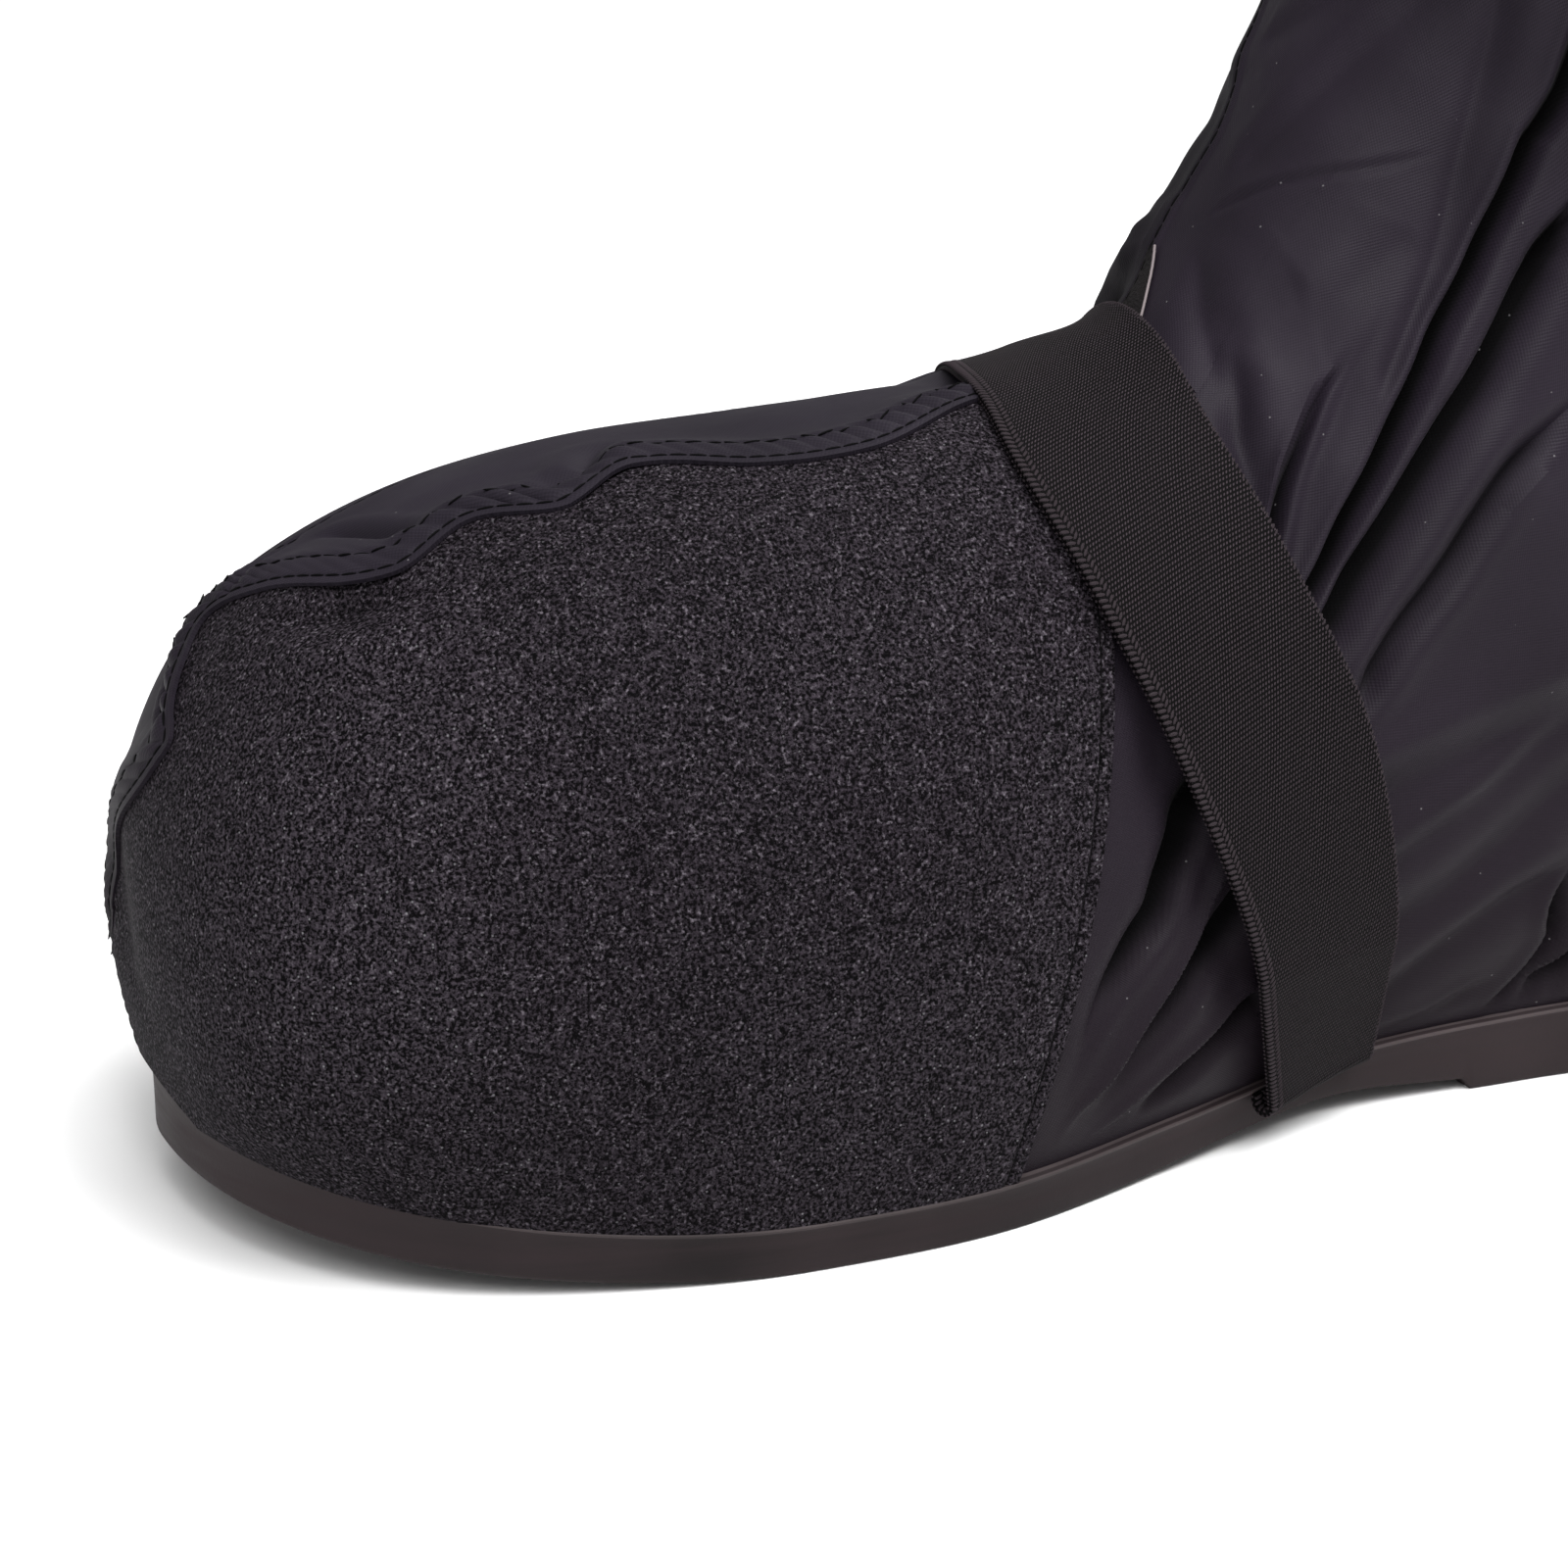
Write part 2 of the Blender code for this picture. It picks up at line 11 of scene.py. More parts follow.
import bpy
import numpy as np
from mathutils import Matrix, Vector


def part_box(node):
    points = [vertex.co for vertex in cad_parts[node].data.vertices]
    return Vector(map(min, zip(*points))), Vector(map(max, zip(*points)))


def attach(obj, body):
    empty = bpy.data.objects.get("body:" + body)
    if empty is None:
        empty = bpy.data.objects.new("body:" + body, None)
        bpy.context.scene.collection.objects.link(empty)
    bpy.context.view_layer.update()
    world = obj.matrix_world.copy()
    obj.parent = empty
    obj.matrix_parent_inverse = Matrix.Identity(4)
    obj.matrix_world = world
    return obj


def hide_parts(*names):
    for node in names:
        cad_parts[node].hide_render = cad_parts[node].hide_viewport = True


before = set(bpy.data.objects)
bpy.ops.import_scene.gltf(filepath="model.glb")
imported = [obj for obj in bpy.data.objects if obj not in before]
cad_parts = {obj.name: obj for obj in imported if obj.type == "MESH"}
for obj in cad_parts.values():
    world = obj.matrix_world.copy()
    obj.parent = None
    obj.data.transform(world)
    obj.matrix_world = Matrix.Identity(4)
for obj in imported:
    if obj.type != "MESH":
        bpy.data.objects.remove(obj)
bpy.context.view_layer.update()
MM = 0.001
# The point in the shoe's own millimetres that lies at the model's origin.
ROW_CENTRE = np.array([156.6, -2.3, 0.0])


# %% [markdown]
# ## The camera
# All sizes here are millimetres in the shoe's own directions: x from the heel end to the toe, y to the
# outer side, z up from the floor. The camera could be placed by eye. It is worked out instead from a point
# in the shoe that it looks at, a turn, a rise and a distance, so that the angle of the photograph is kept.

# %% Place the camera
LOOK_AT = np.array([212.2, -2.57, 60.0])
CAMERA_TURN = math.radians(24.92)
CAMERA_RISE = math.radians(17.74)
CAMERA_DISTANCE = 512.24
CAMERA_LENS = 71.54
CAMERA_SENSOR = 36.0
CAMERA_NEAR = 0.01


def to_row(points):
    """Shoe millimetres to metres in the row's frame."""
    return (np.asarray(points, float) - ROW_CENTRE) * MM


def look_along(thing, direction):
    """Turn a camera or a lamp so that it looks in a direction."""
    thing.rotation_mode = "QUATERNION"
    thing.rotation_quaternion = direction.to_track_quat("-Z", "Y")


back = Vector((math.sin(CAMERA_TURN) * math.cos(CAMERA_RISE),
               math.cos(CAMERA_TURN) * math.cos(CAMERA_RISE),
               math.sin(CAMERA_RISE)))
bpy.ops.object.select_all(action="DESELECT")
bpy.ops.object.camera_add(location=Vector(to_row(LOOK_AT)) + back * (CAMERA_DISTANCE * MM))
camera = bpy.context.object
look_along(camera, -back)
camera.data.lens = CAMERA_LENS
camera.data.sensor_width = CAMERA_SENSOR
camera.data.clip_start = CAMERA_NEAR
bpy.context.scene.camera = camera
print("camera at", [round(v, 3) for v in camera.location])


# %% [markdown]
# ## The studio
# Black cloth shows its form only through soft reflections. A very soft sun lights floor and shoe evenly, so
# that the floor stays pale to the far end. Large lamps close by draw highlights: one over the toe, one over
# the ankle and a weaker one behind the shaft. A pale world fills the shadows.

# %% Floor, lights and background
FLOOR_SIZE = 14.0
# Each lamp: name, place, the spot that it looks at, width in metres, watts.
LIGHTS = (
    ("key_light", (0.45, 0.75, 0.95), (0.02, 0.0, 0.08), 0.7, 6.0),
    ("top_light", (-0.30, 0.45, 1.10), (0.0, 0.0, 0.10), 0.8, 8.0),
    ("back_light", (-0.85, -0.55, 0.75), (-0.05, 0.0, 0.15), 0.8, 4.0),
)
SUN_FROM = (-0.12, 0.42, 0.90)
SUN_STRENGTH = 2.6
SUN_SPREAD = math.radians(40)
WORLD_COLOUR = (1.0, 1.0, 1.0, 1)
WORLD_STRENGTH = 0.40

bpy.ops.mesh.primitive_plane_add(size=FLOOR_SIZE, location=(0, 0, 0))
floor = bpy.context.object
floor.name = "studio_floor"
for name, place, aim, size, watts in LIGHTS:
    bpy.ops.object.light_add(type="AREA", location=place)
    light = bpy.context.object
    light.name = name
    look_along(light, Vector(aim) - Vector(place))
    light.data.shape = "DISK"
    light.data.size = size
    light.data.energy = watts
bpy.ops.object.light_add(type="SUN", location=SUN_FROM)
sun = bpy.context.object
sun.name = "soft_sun"
look_along(sun, -Vector(SUN_FROM))
sun.data.energy = SUN_STRENGTH
sun.data.angle = SUN_SPREAD
world = bpy.data.worlds.new("studio_world")
world.use_nodes = True
background = world.node_tree.nodes["Background"]
background.inputs["Color"].default_value = WORLD_COLOUR
background.inputs["Strength"].default_value = WORLD_STRENGTH
bpy.context.scene.world = world
bpy.context.scene.view_settings.view_transform = "Standard"
print("lights", [row[0] for row in LIGHTS])


# %% [markdown]
# ## The shoe form
# Every piece of the upper follows one surface, as the pieces of a real shoe follow the last. It is worked
# out from the same short tables as the CAD model: the sole's outline and heights, a row for each section of
# the foot from toe to heel, and a row for each ring of the shaft. A point on it has a section number and a
# place across, from -1 at the inner sole edge over 0 on the ridge to 1 at the outer sole edge.

# %% Tables of the shoe form
SOLE_LENGTH = 315.0
TOE_ROUND_FROM = 0.735 * SOLE_LENGTH
TOE_POWER = 2.32
TOE_TIP_Y = -18.5
TOE_CURVE_FROM = 0.55 * SOLE_LENGTH
TOE_CURVE_POWER = 1.5
HEEL_ROUND = 38.0
HEEL_POWER = 2.3
TOE_SPRING = 10.3
TOE_SPRING_FROM = 0.72 * SOLE_LENGTH
HEEL_BREAST = 0.312 * SOLE_LENGTH
FEATHER_INSET = 1.0
SEAT_GAP = 0.3
SEAT_SINK = 0.3

OUTLINE_COLUMNS = ("station", "lateral", "medial")
OUTLINE = (
    (0.00, 36.0, 36.0),
    (0.06, 38.0, 38.0),
    (0.16, 40.5, 40.0),
    (0.28, 37.0, 38.0),
    (0.40, 36.0, 36.5),
    (0.52, 44.0, 41.0),
    (0.64, 52.0, 49.0),
    (0.74, 51.5, 54.0),
    (0.84, 48.0, 55.0),
    (1.00, 46.0, 52.0),
)
HEIGHT_COLUMNS = ("station", "underside", "top")
HEIGHTS = (
    (0.000, 2.0, 14.5),
    (0.250, 2.0, 13.3),
    (0.312, 2.0, 12.8),
    (0.400, 3.8, 11.6),
    (0.480, 2.8, 10.2),
    (0.560, 0.6, 9.0),
    (0.620, 0.0, 8.5),
    (0.720, 0.0, 8.4),
    (0.860, 0.0, 9.0),
    (1.000, 0.0, 10.5),
)
FOOT_COLUMNS = ("foot_x", "ridge_x", "ridge_z", "half_width", "widest", "crown", "base_round")
FOOT_SECTIONS = (
    (313.0, 314.4, 18.0, 14.5, 0.05, 2.0, 1.00),
    (309.0, 316.6, 37.0, 27.0, 0.40, 2.0, 1.00),
    (302.0, 316.8, 55.0, 37.0, 0.40, 2.0, 1.00),
    (292.0, 313.2, 73.0, 44.5, 0.40, 2.1, 1.00),
    (279.0, 303.8, 91.0, 49.5, 0.38, 2.2, 1.00),
    (262.0, 290.0, 103.5, 53.0, 0.37, 2.3, 1.00),
    (242.0, 269.0, 113.5, 55.0, 0.37, 2.3, 1.00),
    (220.0, 244.0, 119.3, 56.0, 0.36, 2.3, 1.00),
    (196.0, 217.0, 121.8, 55.0, 0.36, 2.3, 1.00),
    (172.0, 192.0, 123.6, 53.0, 0.36, 2.3, 1.00),
    (150.0, 173.0, 125.2, 51.0, 0.37, 2.3, 1.00),
    (135.0, 161.5, 128.0, 49.5, 0.38, 2.3, 1.00),
    (118.0, 151.5, 133.5, 48.5, 0.40, 2.3, 1.00),
    (96.0, 143.0, 145.0, 48.5, 0.42, 2.2, 1.00),
    (72.0, 137.0, 154.2, 48.0, 0.44, 2.2, 1.05),
    (48.0, 131.5, 163.0, 47.5, 0.46, 2.2, 1.15),
    (28.0, 126.0, 172.4, 47.0, 0.47, 2.2, 1.30),
    (13.0, 121.0, 181.6, 47.0, 0.48, 2.2, 1.60),
    (4.0, 117.2, 191.0, 47.0, 0.48, 2.2, 2.20),
)
SHAFT_COLUMNS = ("back_x", "back_z", "front_x", "front_z", "half_width", "widest", "crown", "base_round")
SHAFT_SECTIONS = (
    (0.2, 15.4, 114.0, 202.0, 47.5, 0.49, 2.2, 2.4),
    (-4.0, 36.0, 111.8, 213.5, 48.5, 0.50, 2.2, 2.4),
    (-5.0, 70.0, 110.2, 228.0, 49.5, 0.50, 2.2, 2.3),
    (-2.5, 115.0, 109.4, 245.0, 50.0, 0.50, 2.2, 2.2),
    (0.0, 165.0, 109.0, 265.0, 50.5, 0.50, 2.2, 2.2),
    (1.0, 220.0, 109.0, 287.0, 51.0, 0.50, 2.2, 2.2),
    (1.0, 278.0, 109.0, 311.0, 51.5, 0.50, 2.2, 2.2),
    (1.0, 336.0, 109.0, 336.0, 52.0, 0.50, 2.2, 2.2),
)
LAST_FOOT = len(FOOT_SECTIONS) - 1
COLLAR = float(len(FOOT_SECTIONS) + len(SHAFT_SECTIONS) - 1)
print("sections", len(FOOT_SECTIONS), "of the foot and", len(SHAFT_SECTIONS), "of the shaft")


# %% [markdown]
# A cubic curve runs through each column, so a few rows give a smooth form. The sole's own lines come first,
# since each section of the foot starts and ends on the sole's top edge.

# %% Lines of the sole
def column(table, names, name):
    """One named column of a table as an array."""
    return np.array([row[names.index(name)] for row in table], float)


def smooth(x, xs, ys):
    """Cubic curve through the table values ys at xs."""
    x = np.clip(np.asarray(x, float), xs[0], xs[-1])
    slope = np.gradient(ys, xs)
    i = np.clip(np.searchsorted(xs, x, side="right") - 1, 0, len(xs) - 2)
    step = xs[i + 1] - xs[i]
    u = (x - xs[i]) / step
    start = (1 + 2 * u) * (1 - u) ** 2 * ys[i] + u * (1 - u) ** 2 * step * slope[i]
    end = u * u * (3 - 2 * u) * ys[i + 1] + u * u * (u - 1) * step * slope[i + 1]
    return start + end


def rounded(fraction, power):
    """Height of a unit superellipse quarter at a fraction of its length."""
    return (1 - np.clip(fraction, 0, 1) ** power) ** (1 / power)


def centre_y(x):
    """Sideways curve of the foot's middle line."""
    return TOE_TIP_Y * np.clip((x - TOE_CURVE_FROM) / (SOLE_LENGTH - TOE_CURVE_FROM), 0, 1) ** TOE_CURVE_POWER


def sole_sides(x):
    """Lateral and medial edge of the sole outline at station x."""
    x = np.clip(np.asarray(x, float), 0, SOLE_LENGTH)
    station = column(OUTLINE, OUTLINE_COLUMNS, "station")
    ends = rounded((x - TOE_ROUND_FROM) / (SOLE_LENGTH - TOE_ROUND_FROM), TOE_POWER)
    ends = ends * rounded((HEEL_ROUND - x) / HEEL_ROUND, HEEL_POWER)
    middle = centre_y(x)
    lateral = smooth(x / SOLE_LENGTH, station, column(OUTLINE, OUTLINE_COLUMNS, "lateral"))
    medial = smooth(x / SOLE_LENGTH, station, column(OUTLINE, OUTLINE_COLUMNS, "medial"))
    return middle + (lateral - middle) * ends, middle - (medial + middle) * ends


def sole_height(x, name):
    """Height of the sole's top edge or underside at station x, with the toe spring."""
    x = np.asarray(x, float)
    station = column(HEIGHTS, HEIGHT_COLUMNS, "station")
    level = smooth(x / SOLE_LENGTH, station, column(HEIGHTS, HEIGHT_COLUMNS, name))
    if name == "underside":
        level = np.where(x > HEEL_BREAST, np.maximum(level, 0), 0)
    lift = np.clip((x - TOE_SPRING_FROM) / (SOLE_LENGTH - TOE_SPRING_FROM), 0, 1)
    return level + TOE_SPRING * lift ** 2


print("sole width at the ball", np.round(np.subtract(*sole_sides(0.7 * SOLE_LENGTH)), 1), "mm")


# %% [markdown]
# The whole surface is worked out once on a fine net of sections and places. Any point in between is then
# read off the net with cubic weights, so that a dense piece has no facets. The lift is a height over the
# surface.

# %% The surface of the shoe form
ARC_SAMPLES = 200
NET_PER_SECTION = 12
NET_PER_SIDE = 120


def section_rows():
    """Foot and shaft rows under common columns: base, ridge and shape."""
    foot = {name: column(FOOT_SECTIONS, FOOT_COLUMNS, name) for name in FOOT_COLUMNS}
    shaft = {name: column(SHAFT_SECTIONS, SHAFT_COLUMNS, name) for name in SHAFT_COLUMNS}
    base_x = np.r_[foot["foot_x"], shaft["back_x"]]
    base_z = np.r_[sole_height(foot["foot_x"], "top") - SEAT_SINK, shaft["back_z"]]
    ridge_x = np.r_[foot["ridge_x"], shaft["front_x"]]
    ridge_z = np.r_[foot["ridge_z"], shaft["front_z"]]
    ridge_z[0] = sole_height(ridge_x[0], "top") - SEAT_SINK
    shape = [np.r_[foot[name], shaft[name]] for name in ("half_width", "widest", "crown", "base_round")]
    return np.stack([base_x, base_z, ridge_x, ridge_z] + shape, -1)


SECTION_TABLE = section_rows()
SECTION_NUMBERS = np.arange(len(SECTION_TABLE), dtype=float)


def section_curve(number, side):
    """Points of one half of a section, from the ridge to its base."""
    row = [float(smooth(number, SECTION_NUMBERS, values)) for values in SECTION_TABLE.T]
    base_x, base_z, ridge_x, ridge_z, half_width, widest, crown, base_round = row
    base_half, middle = 0.0, 0.0
    if number < LAST_FOOT + 1:
        lateral, medial = sole_sides(max(base_x, 0.0))
        closing = min(1.0, LAST_FOOT + 1 - number)
        base_half = max((lateral - medial) / 2 - FEATHER_INSET, 0.0) * closing
        middle = (lateral + medial) / 2 * closing
        base_z = max(float(sole_height(base_x, "top")) - SEAT_SINK, base_z if number > LAST_FOOT else 0.0)
    angle = np.linspace(0, np.pi / 2, ARC_SAMPLES)
    down = np.sin(angle)[1:]
    rise = np.r_[widest + (1 - widest) * np.cos(angle) ** (2 / crown), widest * (1 - down)]
    lower = base_half + (half_width - base_half) * (1 - down ** 2) ** (1 / base_round)
    width = np.r_[half_width * np.sin(angle) ** (2 / crown), lower]
    y = middle * (1 - rise) + float(centre_y(ridge_x)) * rise + side * width
    return np.c_[base_x + (ridge_x - base_x) * rise, y, base_z + (ridge_z - base_z) * rise]


def run_along(points, axis):
    """Length along the lines of a grid of points, counted from the first one."""
    steps = np.diff(points, axis=axis, prepend=np.take(points, [0], axis=axis))
    return np.cumsum(np.linalg.norm(steps, axis=-1), axis=axis)


def section_points(number, places):
    """Points of one section at places across, by length along each half."""
    points = np.zeros((len(places), 3))
    for side in (1, -1):
        chosen = places >= 0 if side > 0 else places < 0
        curve = section_curve(number, side)
        run = run_along(curve, 0)
        for axis in range(3):
            points[chosen, axis] = np.interp(np.abs(places[chosen]) * run[-1], run, curve[:, axis])
    return points


NET_NUMBERS = np.linspace(0, COLLAR, int(COLLAR) * NET_PER_SECTION + 1)
NET_PLACES = np.linspace(-1, 1, 2 * NET_PER_SIDE + 1)
NET_POINTS = np.array([section_points(number, NET_PLACES) for number in NET_NUMBERS])
NET_NORMALS = np.cross(np.gradient(NET_POINTS, axis=1), np.gradient(NET_POINTS, axis=0))
NET_NORMALS /= np.linalg.norm(NET_NORMALS, axis=-1, keepdims=True)
NET_ACROSS = run_along(NET_POINTS, 1)
NET_ACROSS -= NET_ACROSS[:, NET_PER_SIDE][:, None]
NET_ALONG = run_along(NET_POINTS, 0)
NET = np.concatenate([NET_POINTS, NET_NORMALS, np.stack([NET_ACROSS, NET_ALONG], -1)], axis=-1)


def cubic_taps(values, low, high, count):
    """Four net lines next to each value and their weights."""
    spot = np.clip((values - low) / (high - low), 0, 1) * (count - 1)
    first = np.clip(np.floor(spot).astype(int), 0, count - 2)
    u = spot - first
    lines = np.clip(first[..., None] + np.arange(-1, 3), 0, count - 1)
    before, after = 2 * u**2 - u - u**3, u**3 - u**2
    weights = 0.5 * np.stack([before, 2 - 5 * u**2 + 3 * u**3, u + 4 * u**2 - 3 * u**3, after], -1)
    return lines, weights


def read_net(numbers, places):
    """Position, outward normal and cloth map at section numbers and places."""
    numbers, places = np.broadcast_arrays(np.asarray(numbers, float), np.asarray(places, float))
    rows, row_weights = cubic_taps(numbers, 0.0, COLLAR, len(NET_NUMBERS))
    cols, col_weights = cubic_taps(places, -1.0, 1.0, len(NET_PLACES))
    values = np.zeros(numbers.shape + (NET.shape[-1],))
    for i in range(rows.shape[-1]):
        for j in range(cols.shape[-1]):
            weight = row_weights[..., i] * col_weights[..., j]
            values += weight[..., None] * NET[rows[..., i], cols[..., j]]
    normals = values[..., 3:6] / np.linalg.norm(values[..., 3:6], axis=-1, keepdims=True)
    return values[..., :3], normals, values[..., 6:]


def on_form(numbers, places, lift=0.0):
    """Points at a height over the shoe form, in millimetres."""
    points, normals, cloth = read_net(numbers, places)
    return points + normals * np.broadcast_to(lift, points.shape[:-1])[..., None]


upper_low, upper_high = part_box("upper")
form_points = to_row(NET_POINTS.reshape(-1, 3))
off_low = np.abs(form_points.min(0) - np.array(upper_low)).max() / MM
off_high = np.abs(form_points.max(0) - np.array(upper_high)).max() / MM
print("form against the CAD upper, mm off:", round(off_low, 2), round(off_high, 2))


# %% [markdown]
# ## Folds of the cloth
# The nylon hangs empty over the ankle, so it falls into long tucks that run up and back from behind the
# strap, and into short pleats ahead of it. A cloth simulation would put its folds elsewhere. Here each fold
# is a line on the form with a depth, a width and a rise beside it, placed where the photograph shows it.
# The two sides of a fold differ: the front side, towards the ridge, and the back side, towards
# the sole, have their own width and rise. Distances are measured in space, so a fold keeps its width
# wherever it runs.

# %% Fold lines
# A path is a row of stops, each a section number and a place across.
MAIN_TUCK = (
    (10.9, 0.48), (11.5, 0.44), (12.15, 0.40), (12.6, 0.37), (13.15, 0.345), (13.7, 0.32), (14.35, 0.295),
    (14.95, 0.272), (15.7, 0.254), (16.4, 0.238), (17.3, 0.224), (18.1, 0.214), (19.3, 0.213), (21.0, 0.228),
    (23.5, 0.24),
)
SECOND_TUCK = (
    (10.9, 0.535), (12.1, 0.45), (12.55, 0.42), (13.1, 0.395), (13.7, 0.37), (14.4, 0.345), (15.1, 0.325),
    (15.8, 0.305), (16.55, 0.287), (17.3, 0.276), (19.5, 0.262),
)
THIRD_TUCK = (
    (11.2, 0.60), (12.1, 0.55), (12.45, 0.52), (12.8, 0.497), (13.3, 0.475), (13.65, 0.46), (14.15, 0.437),
    (14.8, 0.412), (15.7, 0.395), (17.2, 0.375),
)
SHORT_CREASE = (
    (10.9, 0.44), (11.3, 0.39), (11.75, 0.34), (12.1, 0.303), (12.45, 0.28), (12.95, 0.256), (13.35, 0.248),
    (13.8, 0.235),
)
ANKLE_CREST = ((11.2, 0.625), (12.05, 0.61), (12.9, 0.605), (14.35, 0.605), (16.0, 0.60))
ANKLE_HOLLOW = ((11.2, 0.83), (11.95, 0.82), (12.9, 0.785), (14.05, 0.72), (16.0, 0.66))
LOW_CREASE = ((11.2, 0.96), (11.95, 0.925), (12.6, 0.875), (13.15, 0.84), (13.6, 0.825), (14.5, 0.79))
# A fold is a path with its depth, its front and back width and its front and back rise in millimetres.
LONG_TUCKS = (
    (MAIN_TUCK, 7.6, 1.1, 2.0, 0.7, 0.2),
    (SECOND_TUCK, 7.0, 1.7, 3.4, 0.2, 0.6),
)
SHORT_FOLDS = (
    (SHORT_CREASE, 4.4, 0.9, 1.2, 0.7, 0.4),
    (((11.3, 0.36), (11.6, 0.30), (11.75, 0.275), (11.85, 0.24), (12.15, 0.195), (12.35, 0.165),
      (12.75, 0.14)), 2.0, 1.8, 3.0, 0.5, 0.3),
    (((11.2, 0.44), (11.7, 0.39), (12.1, 0.345), (12.45, 0.31), (12.95, 0.285), (13.5, 0.26), (14.25, 0.24),
      (14.7, 0.21)), 1.4, 2.6, 2.6, 0.3, 0.3),
)
SHAFT_FOLDS = (
    (THIRD_TUCK, 4.0, 2.4, 2.0, 0.6, 0.8),
    (ANKLE_CREST, -1.2, 4.0, 4.0, 0.0, 0.0),
    (((11.2, 0.67), (12.05, 0.655), (13.0, 0.65), (14.4, 0.64), (16.0, 0.62)),
     1.2, 3.5, 3.5, 0.3, 0.3),
    (((11.2, 0.755), (12.1, 0.735), (12.55, 0.72), (13.0, 0.705), (13.9, 0.67), (15.2, 0.63)),
     1.2, 1.8, 3.5, 0.5, 0.4),
    (ANKLE_HOLLOW, 1.4, 4.5, 3.5, 0.5, 0.5),
    (LOW_CREASE, 1.6, 2.6, 3.4, 0.4, 0.3),
    (((11.4, 1.0), (11.85, 0.99), (12.35, 0.98), (12.7, 0.96), (13.1, 0.93)), 1.0, 1.5, 2.0, 0.4, 0.2),
    (((13.4, 0.025), (14.1, 0.062), (14.8, 0.10), (15.6, 0.14), (16.6, 0.175)), 0.7, 0.7, 0.8, 0.15, 0.1),
    (((13.6, 0.30), (14.2, 0.27), (15.85, 0.215), (17.0, 0.18), (19.0, 0.145), (21.0, 0.13)),
     1.3, 2.2, 3.0, 0.0, 0.9),
    (((16.4, -0.03), (16.65, -0.005), (17.3, 0.035), (18.5, 0.08)), 0.6, 2.0, 3.0, 0.3, 0.2),
    (((14.0, 0.03), (14.85, 0.045), (16.0, 0.065), (18.0, 0.095), (20.0, 0.12)), 0.9, 2.4, 3.4, 0.4, 0.2),
    (((13.1, 0.03), (12.5, 0.09), (12.2, 0.14), (11.9, 0.20), (11.5, 0.26)), 1.1, 2.4, 3.2, 0.3, 0.4),
    (((15.5, 0.20), (15.15, 0.20), (14.25, 0.20), (13.4, 0.20), (12.8, 0.185), (12.2, 0.17)),
     0.5, 3.0, 4.0, 0.2, 0.2),
    (((12.25, 0.13), (13.05, 0.15), (13.75, 0.17)), 0.6, 4.0, 4.0, 0.2, 0.2),
)
HEEL_FOLDS = (
    (((12.9, 1.0), (13.05, 0.99), (13.25, 0.96), (13.45, 0.93), (13.65, 0.895), (13.75, 0.855), (14.1, 0.80)),
     5.0, 1.6, 2.4, 0.8, 0.3),
    (((13.2, 1.0), (13.3, 0.99), (13.5, 0.96), (13.7, 0.94), (14.2, 0.90)), 4.5, 1.6, 2.2, 0.6, 0.3),
    (((13.5, 1.0), (13.75, 0.94), (14.2, 0.87)), 2.5, 1.6, 2.0, 0.5, 0.3),
)
PLEATS = (
    (((10.5, 0.50), (10.0, 0.565), (9.75, 0.60), (9.6, 0.635), (9.4, 0.675), (9.25, 0.712), (9.0, 0.75),
      (8.7, 0.805), (8.5, 0.865), (8.25, 0.94)), 5.4, 3.2, 2.0, 0.4, 0.5),
    (((10.3, 0.60), (9.8, 0.695), (9.35, 0.775), (8.95, 0.845), (8.7, 0.895), (8.45, 0.935), (8.25, 0.98)),
     -1.7, 1.6, 1.0, 0.0, 0.0),
    (((10.5, 0.66), (10.05, 0.725), (9.8, 0.757), (9.55, 0.785), (9.35, 0.82), (9.1, 0.86), (8.85, 0.90),
      (8.5, 0.96)), 4.8, 2.3, 2.6, 0.0, 0.3),
    (((10.4, 0.82), (9.95, 0.85), (9.45, 0.89), (9.0, 0.93), (8.7, 0.965), (8.4, 0.99)),
     -1.5, 1.8, 0.9, 0.0, 0.0),
    (((10.5, 0.85), (10.05, 0.88), (9.7, 0.905), (9.45, 0.93), (9.15, 0.955), (8.9, 0.98)),
     3.4, 1.7, 2.0, 0.0, 0.2),
)
STRAP_HOLLOW = (
    (((9.3, 0.42), (9.5, 0.55), (9.68, 0.65), (9.85, 0.75), (10.0, 0.85), (10.12, 0.95)),
     2.0, 8.0, 7.0, 0.0, 0.0),
)
FAR_SIDE_FOLDS = (
    (((10.9, -0.50), (13.0, -0.36), (15.5, -0.28), (19.0, -0.24), (22.0, -0.20)), 2.6, 3.5, 3.5, 1.0, 1.0),
    (((11.0, -0.62), (13.0, -0.52), (15.5, -0.44), (18.5, -0.40)), 2.2, 4.5, 4.5, 0.8, 0.8),
    (((11.2, -0.80), (13.0, -0.76), (15.5, -0.66), (18.0, -0.60)), 1.8, 5.0, 5.0, 0.8, 0.8),
    (((8.3, -1.0), (9.1, -0.84), (10.2, -0.64)), 1.6, 4.0, 4.0, 0.8, 0.8),
)
GUSSET = (
    (((12.6, -0.10), (12.9, -0.11), (13.2, -0.11), (13.6, -0.09)), -1.2, 4.0, 4.0, 0.0, 0.0),
    (((13.6, -0.085), (14.2, -0.075), (14.8, -0.07), (15.4, -0.075), (16.2, -0.09)), 1.6, 6.0, 9.0, 0.0, 0.0),
    (((10.9, -0.24), (11.5, -0.20), (12.0, -0.165), (12.4, -0.15), (12.9, -0.16)), 6.0, 8.0, 14.0, 0.0, 0.0),
)
fold_count = len(LONG_TUCKS + SHORT_FOLDS + SHAFT_FOLDS + HEEL_FOLDS + PLEATS + STRAP_HOLLOW)
fold_count += len(FAR_SIDE_FOLDS + GUSSET)
print("folds", fold_count)


